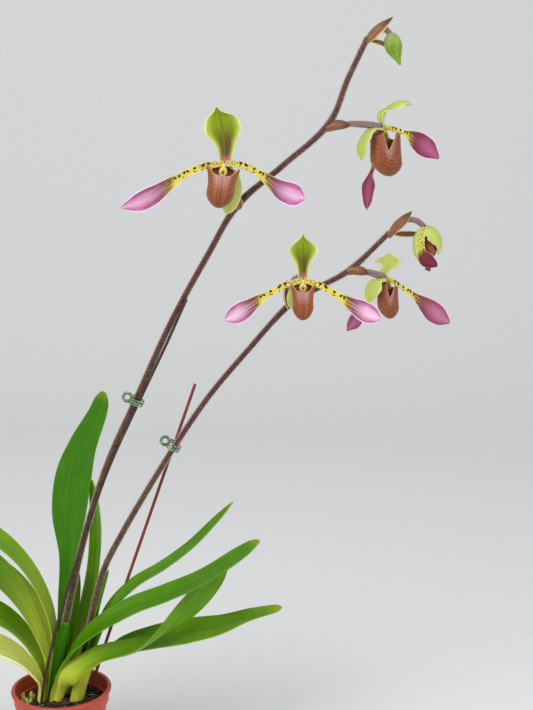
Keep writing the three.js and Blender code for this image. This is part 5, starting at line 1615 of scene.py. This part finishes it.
class ORCHID_OT_lips(bpy.types.Operator):
    """Shapes the hollow pouch of each open bloom"""

    bl_idname = "orchid.lips"
    bl_label = "Pouches"

    def execute(self, context):
        settings = context.scene.orchid_blooms
        depth = settings.lip_depth * MM
        wall = settings.lip_wall * MM
        front_skin = lip_finish("pouch skin", settings, 0.12)
        side_skin = lip_finish("folded pouch skin", settings, 1.0)
        for letter, bloom in BLOOMS.items():
            bm = bmesh.new()
            layers = piece_layers(bm, "front", "fold")
            slim = bloom["slim"]
            place = bloom_place(bloom) @ Matrix.Diagonal((slim, slim, 1, 1))
            for vert in lay_grid(bm, 96, 64):
                angle = vert[layers["across"]] * math.pi
                rise = vert[layers["along"]] ** LIP_GROWTH
                share = rise * glide(LIP_RIM, abs(angle) / math.pi)
                flank = math.exp(-(((abs(angle) - FOLD_ANGLE) / FOLD_WIDTH) ** 2))
                vert.co = place @ lip_point(angle, rise, depth, 0)
                vert[layers["lower"]] = place @ lip_point(angle, rise, depth, wall)
                vert[layers["front"]] = math.cos(angle)
                vert[layers["fold"]] = share + FOLD_DIP * flank * smooth(0, 0.35, share)
                vert[layers["spread"]] = (7 * math.sin(angle), share * 1.6, 7 * math.cos(angle))
            bmesh.ops.remove_doubles(bm, verts=bm.verts, dist=MERGE)
            bmesh.ops.recalc_face_normals(bm, faces=bm.faces)
            if self.faces_in(bm):
                bmesh.ops.reverse_faces(bm, faces=bm.faces)
            add_underside(bm, bm.faces[:])
            skin = side_skin if bloom["turn"] else front_skin
            finish_piece(bm, f"bloom_{letter}_lip", "lip", [skin], 70)
        return {"FINISHED"}

    @staticmethod
    def faces_in(bm):
        """True where the pouch's lowest face looks up."""
        lowest = min(bm.faces, key=lambda face: face.calc_center_median().z)
        return lowest.normal.z > 0


class ORCHID_OT_columns(bpy.types.Operator):
    """Shapes the column of each open bloom with its yellow shield"""

    bl_idname = "orchid.columns"
    bl_label = "Columns"

    def execute(self, context):
        skin = shield_finish("shield skin", context.scene.orchid_blooms)
        cap_and_glint = hair_finish("column cap", COLUMN_CAP_AND_GLINT)
        post = [(0, -1.2, -1.2), (0, -2, -3), (0, -2.6, -6)]
        for letter, bloom in BLOOMS.items():
            bm = bmesh.new()
            eye = piece_layers(bm, "eye")["eye"]
            make_stem(bm, post, lambda t, _: 1.6, 16, 12)
            self.add_shield(bm, eye)
            self.add_knob(bm)
            bmesh.ops.transform(bm, matrix=bloom_place(bloom), verts=bm.verts)
            bmesh.ops.recalc_face_normals(bm, faces=bm.faces)
            finish_piece(bm, f"bloom_{letter}_column", "column", [skin, cap_and_glint])
        return {"FINISHED"}

    @staticmethod
    def add_shield(bm, eye):
        """A flattened ball, dished in front with a raised ring and a notch at its foot."""
        ball = bmesh.ops.create_uvsphere(bm, u_segments=48, v_segments=32, radius=1)["verts"]
        tilt = Matrix.Rotation(-0.15, 4, "X")
        centre = Vector((0, -4.2, -7.6))
        for vert in ball:
            x, y, z = vert.co
            off = math.hypot(x, (z + 0.28) * 0.85)
            vert[eye] = 1 - smooth(0.12, 0.5, off) if y < 0 else 0
            ring = math.exp(-(((off - 0.62) / 0.2) ** 2))
            dish = 0.9 * (1 - smooth(0.1, 0.5, off)) - 0.4 * ring if y < 0 else 0
            notch = 0.22 * (1 - smooth(0, 0.3, abs(x))) * (1 - smooth(-0.95, -0.5, z))
            body = Vector((4.4 * x * (0.9 - 0.14 * z), 1.25 * y + dish * -y, 5.1 * z * (1 - notch)))
            vert.co = (tilt @ body) + centre

    @staticmethod
    # A white knob at the top of the column: partly its cap, partly a painted glint.
    def add_knob(bm):
        knob = bmesh.ops.create_uvsphere(bm, u_segments=16, v_segments=12, radius=1)["verts"]
        for vert in knob:
            x, y, z = vert.co
            vert.co = (1.1 * x, 1.3 * y - 3.2, 1.7 * z - 1.7)
        for face in {face for vert in knob for face in vert.link_faces}:
            face.material_index = 1


class ORCHID_OT_sepals(bpy.types.Operator):
    """Shapes the upper sepal and the joined lower sepals of each open bloom"""

    bl_idname = "orchid.sepals"
    bl_label = "Sepals"

    def execute(self, context):
        settings = context.scene.orchid_blooms
        thick = settings.sepal_thickness * MM
        upper = sepal_finish("upper sepal skin", settings, settings.sepal, 1.0)
        side = sepal_finish("side sepal skin", settings, settings.lower_sepal, 0.15)
        wavy = {"ripple": 0.7, "waves": 2.2, "channel": -0.35, "blunt": 0.04}
        for letter, bloom in BLOOMS.items():
            dorsal = side if bloom["turn"] else upper
            for kind, skin in (("dorsal_sepal", dorsal), ("synsepal", side)):
                blade = {**wavy, **bloom[kind]}
                blade_piece(f"bloom_{letter}_{kind}", "sepal", skin, blade, 22, 60, thick)
        return {"FINISHED"}


class ORCHID_OT_petals(bpy.types.Operator):
    """Shapes the two long petals of each open bloom"""

    bl_idname = "orchid.petals"
    bl_label = "Petals"

    def execute(self, context):
        settings = context.scene.orchid_blooms
        thick = settings.petal_thickness * MM
        wavy = {"ripple": 0.7, "waves": 5, "channel": 0.25, "blunt": 0.03}
        for letter, bloom in BLOOMS.items():
            skin = petal_finish(f"petal skin {letter}", settings, bloom["tones"])
            for kind, sign in (("petal_left", -1), ("petal_right", 1)):
                bm = bmesh.new()
                make_blade(bm, {**wavy, **bloom[kind]}, 24, 170, thick)
                self.point_up(bm, sign)
                finish_piece(bm, f"bloom_{letter}_{kind}", "petal", [skin])
        return {"FINISHED"}

    @staticmethod
    def point_up(bm, sign):
        """Turns the across values of a petal so that they grow towards its upper margin."""
        layers = piece_layers(bm)
        for vert in bm.verts:
            x, y, z = vert[layers["spread"]]
            vert[layers["spread"]] = (x * sign, y, z)
            vert[layers["across"]] *= -sign


class ORCHID_OT_ovaries(bpy.types.Operator):
    """Shapes the ribbed, hairy stalk behind each bloom and bud"""

    bl_idname = "orchid.ovaries"
    bl_label = "Ovaries"

    def execute(self, context):
        stems = context.scene.orchid_stems
        skin = ovary_finish("ovary skin", context.scene.orchid_blooms.ovary)
        hair = hair_finish("ovary hair", stems.hair)
        size = stems.hair_length * MM
        ovaries = {f"bloom_{letter}_ovary": (bloom["ovary"], OVARY_GIRTH, 1.0)
                   for letter, bloom in BLOOMS.items()}
        ovaries["bud_e_ovary"] = (BUD_E["ovary"], OVARY_GIRTH, 0.8)
        ovaries["bud_f_ovary"] = (BUD_F["ovary"], PEDICEL_GIRTH, 1.0)
        for seed, (node, (path, girth, scale)) in enumerate(ovaries.items(), OVARY_SEED):
            def radius(t, angle, girth=girth, scale=scale):
                return girth_at(girth, t) * scale * (1 + 0.035 * math.cos(6 * angle))

            bm = bmesh.new()
            make_stem(bm, path, radius, 36, 60)
            add_hairs(bm, path, radius, OVARY_HAIRS, size, seed, 0.0, 0.93)
            finish_piece(bm, node, "ovary", [skin, hair])
        return {"FINISHED"}


class ORCHID_OT_opening_bud(bpy.types.Operator):
    """Shapes the half-open bud: a hood over curled petals and a small pouch"""

    bl_idname = "orchid.opening_bud"
    bl_label = "Opening bud"

    def execute(self, context):
        settings = context.scene.orchid_blooms
        sepal = sepal_finish("bud sepal skin", settings, settings.lower_sepal, 0.1)
        petal = petal_finish("bud petal skin", settings, BUD_E["tones"], True)
        for kind, slot, skin, thick in (
            ("dorsal_sepal", "sepal", sepal, settings.sepal_thickness),
            ("synsepal", "sepal", sepal, settings.sepal_thickness),
            ("petal_left", "petal", petal, settings.petal_thickness),
            ("petal_right", "petal", petal, settings.petal_thickness),
        ):
            blade = {"blunt": 0.06, **BUD_E[kind]}
            blade_piece("bud_e_" + kind, slot, skin, blade, 24, 50, thick * MM)
        bm = bmesh.new()
        make_stem(bm, BUD_E["lip"], lambda t, _: girth_at(BUD_LIP_GIRTH, t), 28, 40)
        finish_piece(bm, "bud_e_lip", "lip", [lip_finish("bud pouch skin", settings, 0.12)])
        return {"FINISHED"}


class ORCHID_OT_closed_bud(bpy.types.Operator):
    """Shapes the closed bud with a ridge where each pair of sepals meets"""

    bl_idname = "orchid.closed_bud"
    bl_label = "Closed bud"

    def execute(self, context):
        def radius(t, angle):
            seam = math.exp(-((math.sin(1.5 * (angle - 2.9 - 0.5 * t)) / 0.16) ** 2))
            return girth_at(BUD_F_GIRTH, t) * (1.02 - 0.1 * seam * smooth(0.03, 0.3, t))

        bm = bmesh.new()
        make_stem(bm, BUD_F["bud"], radius, 60, 70)
        skin = bud_finish("bud skin", context.scene.orchid_blooms.bud)
        finish_piece(bm, "bud_f_bud", "bud", [skin])
        return {"FINISHED"}


# Stage

KEY_LAMP = {"place": (-0.9, -1.3, 1.7), "size": 1.4}
FILL_LAMP = {"place": (1.5, -0.9, 1.0), "size": 1.2}
LAMP_AIM = (0.1, 0, 0.35)
ROOM_TINT = (0.92, 0.95, 1.0, 1)
ROOM_STRENGTH = 0.5
CAMERA_SIDE = 0.1864
CAMERA_HEIGHT = 0.5889
CAMERA_PITCH = 79.5
SENSOR_WIDTH = 36.0
FLOOR_HALF_WIDTH = 4
FLOOR_FRONT = -1.9
FLOOR_FLAT = 3.2
FLOOR_BEND = 0.9
FLOOR_RUN = 2.6


class ORCHID_OT_stage(bpy.types.Operator):
    """Sets the pale floor, the soft lamps and the camera at the photograph's angle"""

    bl_idname = "orchid.stage"
    bl_label = "Stage"

    def execute(self, context):
        stage = context.scene.orchid_stage
        self.add_floor(stage.floor)
        self.add_lamp("key lamp", KEY_LAMP, stage.key)
        self.add_lamp("fill lamp", FILL_LAMP, stage.fill)
        self.add_camera(stage)
        world = bpy.data.worlds.new("soft room")
        world.use_nodes = True
        room = world.node_tree.nodes["Background"].inputs
        room["Color"].default_value = ROOM_TINT
        room["Strength"].default_value = ROOM_STRENGTH
        context.scene.world = world
        context.scene.view_settings.view_transform = "Standard"
        return {"FINISHED"}

    @staticmethod
    def add_floor(tint):
        """A flat floor that bends up into a wall behind the plant."""
        bm = bmesh.new()
        bmesh.ops.create_grid(bm, x_segments=2, y_segments=60, size=1)
        for vert in bm.verts:
            run = (vert.co.y + 1) * FLOOR_RUN
            bend = min(max(run - FLOOR_FLAT, 0) / FLOOR_BEND, math.pi / 2)
            wall = max(run - FLOOR_FLAT - FLOOR_BEND * math.pi / 2, 0)
            y = FLOOR_FRONT + min(run, FLOOR_FLAT) + FLOOR_BEND * math.sin(bend)
            vert.co = (vert.co.x * FLOOR_HALF_WIDTH, y, FLOOR_BEND * (1 - math.cos(bend)) + wall)
        mesh = to_mesh(bm, "backdrop", scale=1)
        mesh.shade_smooth()
        finish = Finish("backdrop paper")
        paper = finish.shaded(tint, 0.985, 1.0, finish.grain(60.0), 0.3, 0.7)
        mesh.materials.append(finish.finish(paper, 0.9))
        floor = linked("backdrop", mesh)
        floor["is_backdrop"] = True

    @staticmethod
    def add_lamp(name, lamp, power):
        data = bpy.data.lights.new(name, "AREA")
        data.size = lamp["size"]
        data.energy = power
        holder = linked(name, data)
        holder.location = lamp["place"]
        aim = Vector(LAMP_AIM) - Vector(lamp["place"])
        holder.rotation_euler = aim.to_track_quat("-Z", "Y").to_euler()

    @staticmethod
    def add_camera(stage):
        data = bpy.data.cameras.new("camera")
        data.lens = stage.lens
        data.sensor_width = SENSOR_WIDTH
        data.clip_end = 20.0
        camera = linked("camera", data)
        camera.location = (CAMERA_SIDE, -stage.distance, CAMERA_HEIGHT)
        camera.rotation_euler = (math.radians(CAMERA_PITCH), 0, 0)
        bpy.context.scene.camera = camera


class ORCHID_PT_panel(bpy.types.Panel):
    """Lists the settings and the steps"""

    bl_idname = "ORCHID_PT_panel"
    bl_label = "Slipper orchid"
    bl_space_type = "VIEW_3D"
    bl_region_type = "UI"
    bl_category = "Orchid"

    def draw(self, context):
        for group in SETTINGS:
            settings = getattr(context.scene, group)
            box = self.layout.box()
            for key in settings.__annotations__:
                box.prop(settings, key)
        for step in STEPS:
            self.layout.operator(step.bl_idname)


SETTINGS = {
    "orchid_pot": PotSettings,
    "orchid_leaves": LeafSettings,
    "orchid_stems": StemSettings,
    "orchid_blooms": BloomSettings,
    "orchid_stage": StageSettings,
}
STEPS = (
    ORCHID_OT_pot,
    ORCHID_OT_bark,
    ORCHID_OT_leaves,
    ORCHID_OT_scapes,
    ORCHID_OT_stakes,
    ORCHID_OT_clips,
    ORCHID_OT_ovaries,
    ORCHID_OT_sepals,
    ORCHID_OT_petals,
    ORCHID_OT_lips,
    ORCHID_OT_columns,
    ORCHID_OT_opening_bud,
    ORCHID_OT_closed_bud,
    ORCHID_OT_stage,
)


def register():
    for name, group in SETTINGS.items():
        bpy.utils.register_class(group)
        setattr(bpy.types.Scene, name, bpy.props.PointerProperty(type=group))
    for step in STEPS:
        bpy.utils.register_class(step)
    bpy.utils.register_class(ORCHID_PT_panel)


def unregister():
    bpy.utils.unregister_class(ORCHID_PT_panel)
    for step in reversed(STEPS):
        bpy.utils.unregister_class(step)
    for name, group in SETTINGS.items():
        delattr(bpy.types.Scene, name)
        bpy.utils.unregister_class(group)


def main():
    register()
    for step in STEPS:
        area, name = step.bl_idname.split(".")
        getattr(getattr(bpy.ops, area), name)()
    boxes = {"cad": CAD_BOX, "visual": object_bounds()}
    {key: [list(corner) for corner in box] for key, box in boxes.items()}


if __name__ == "__main__":
    main()
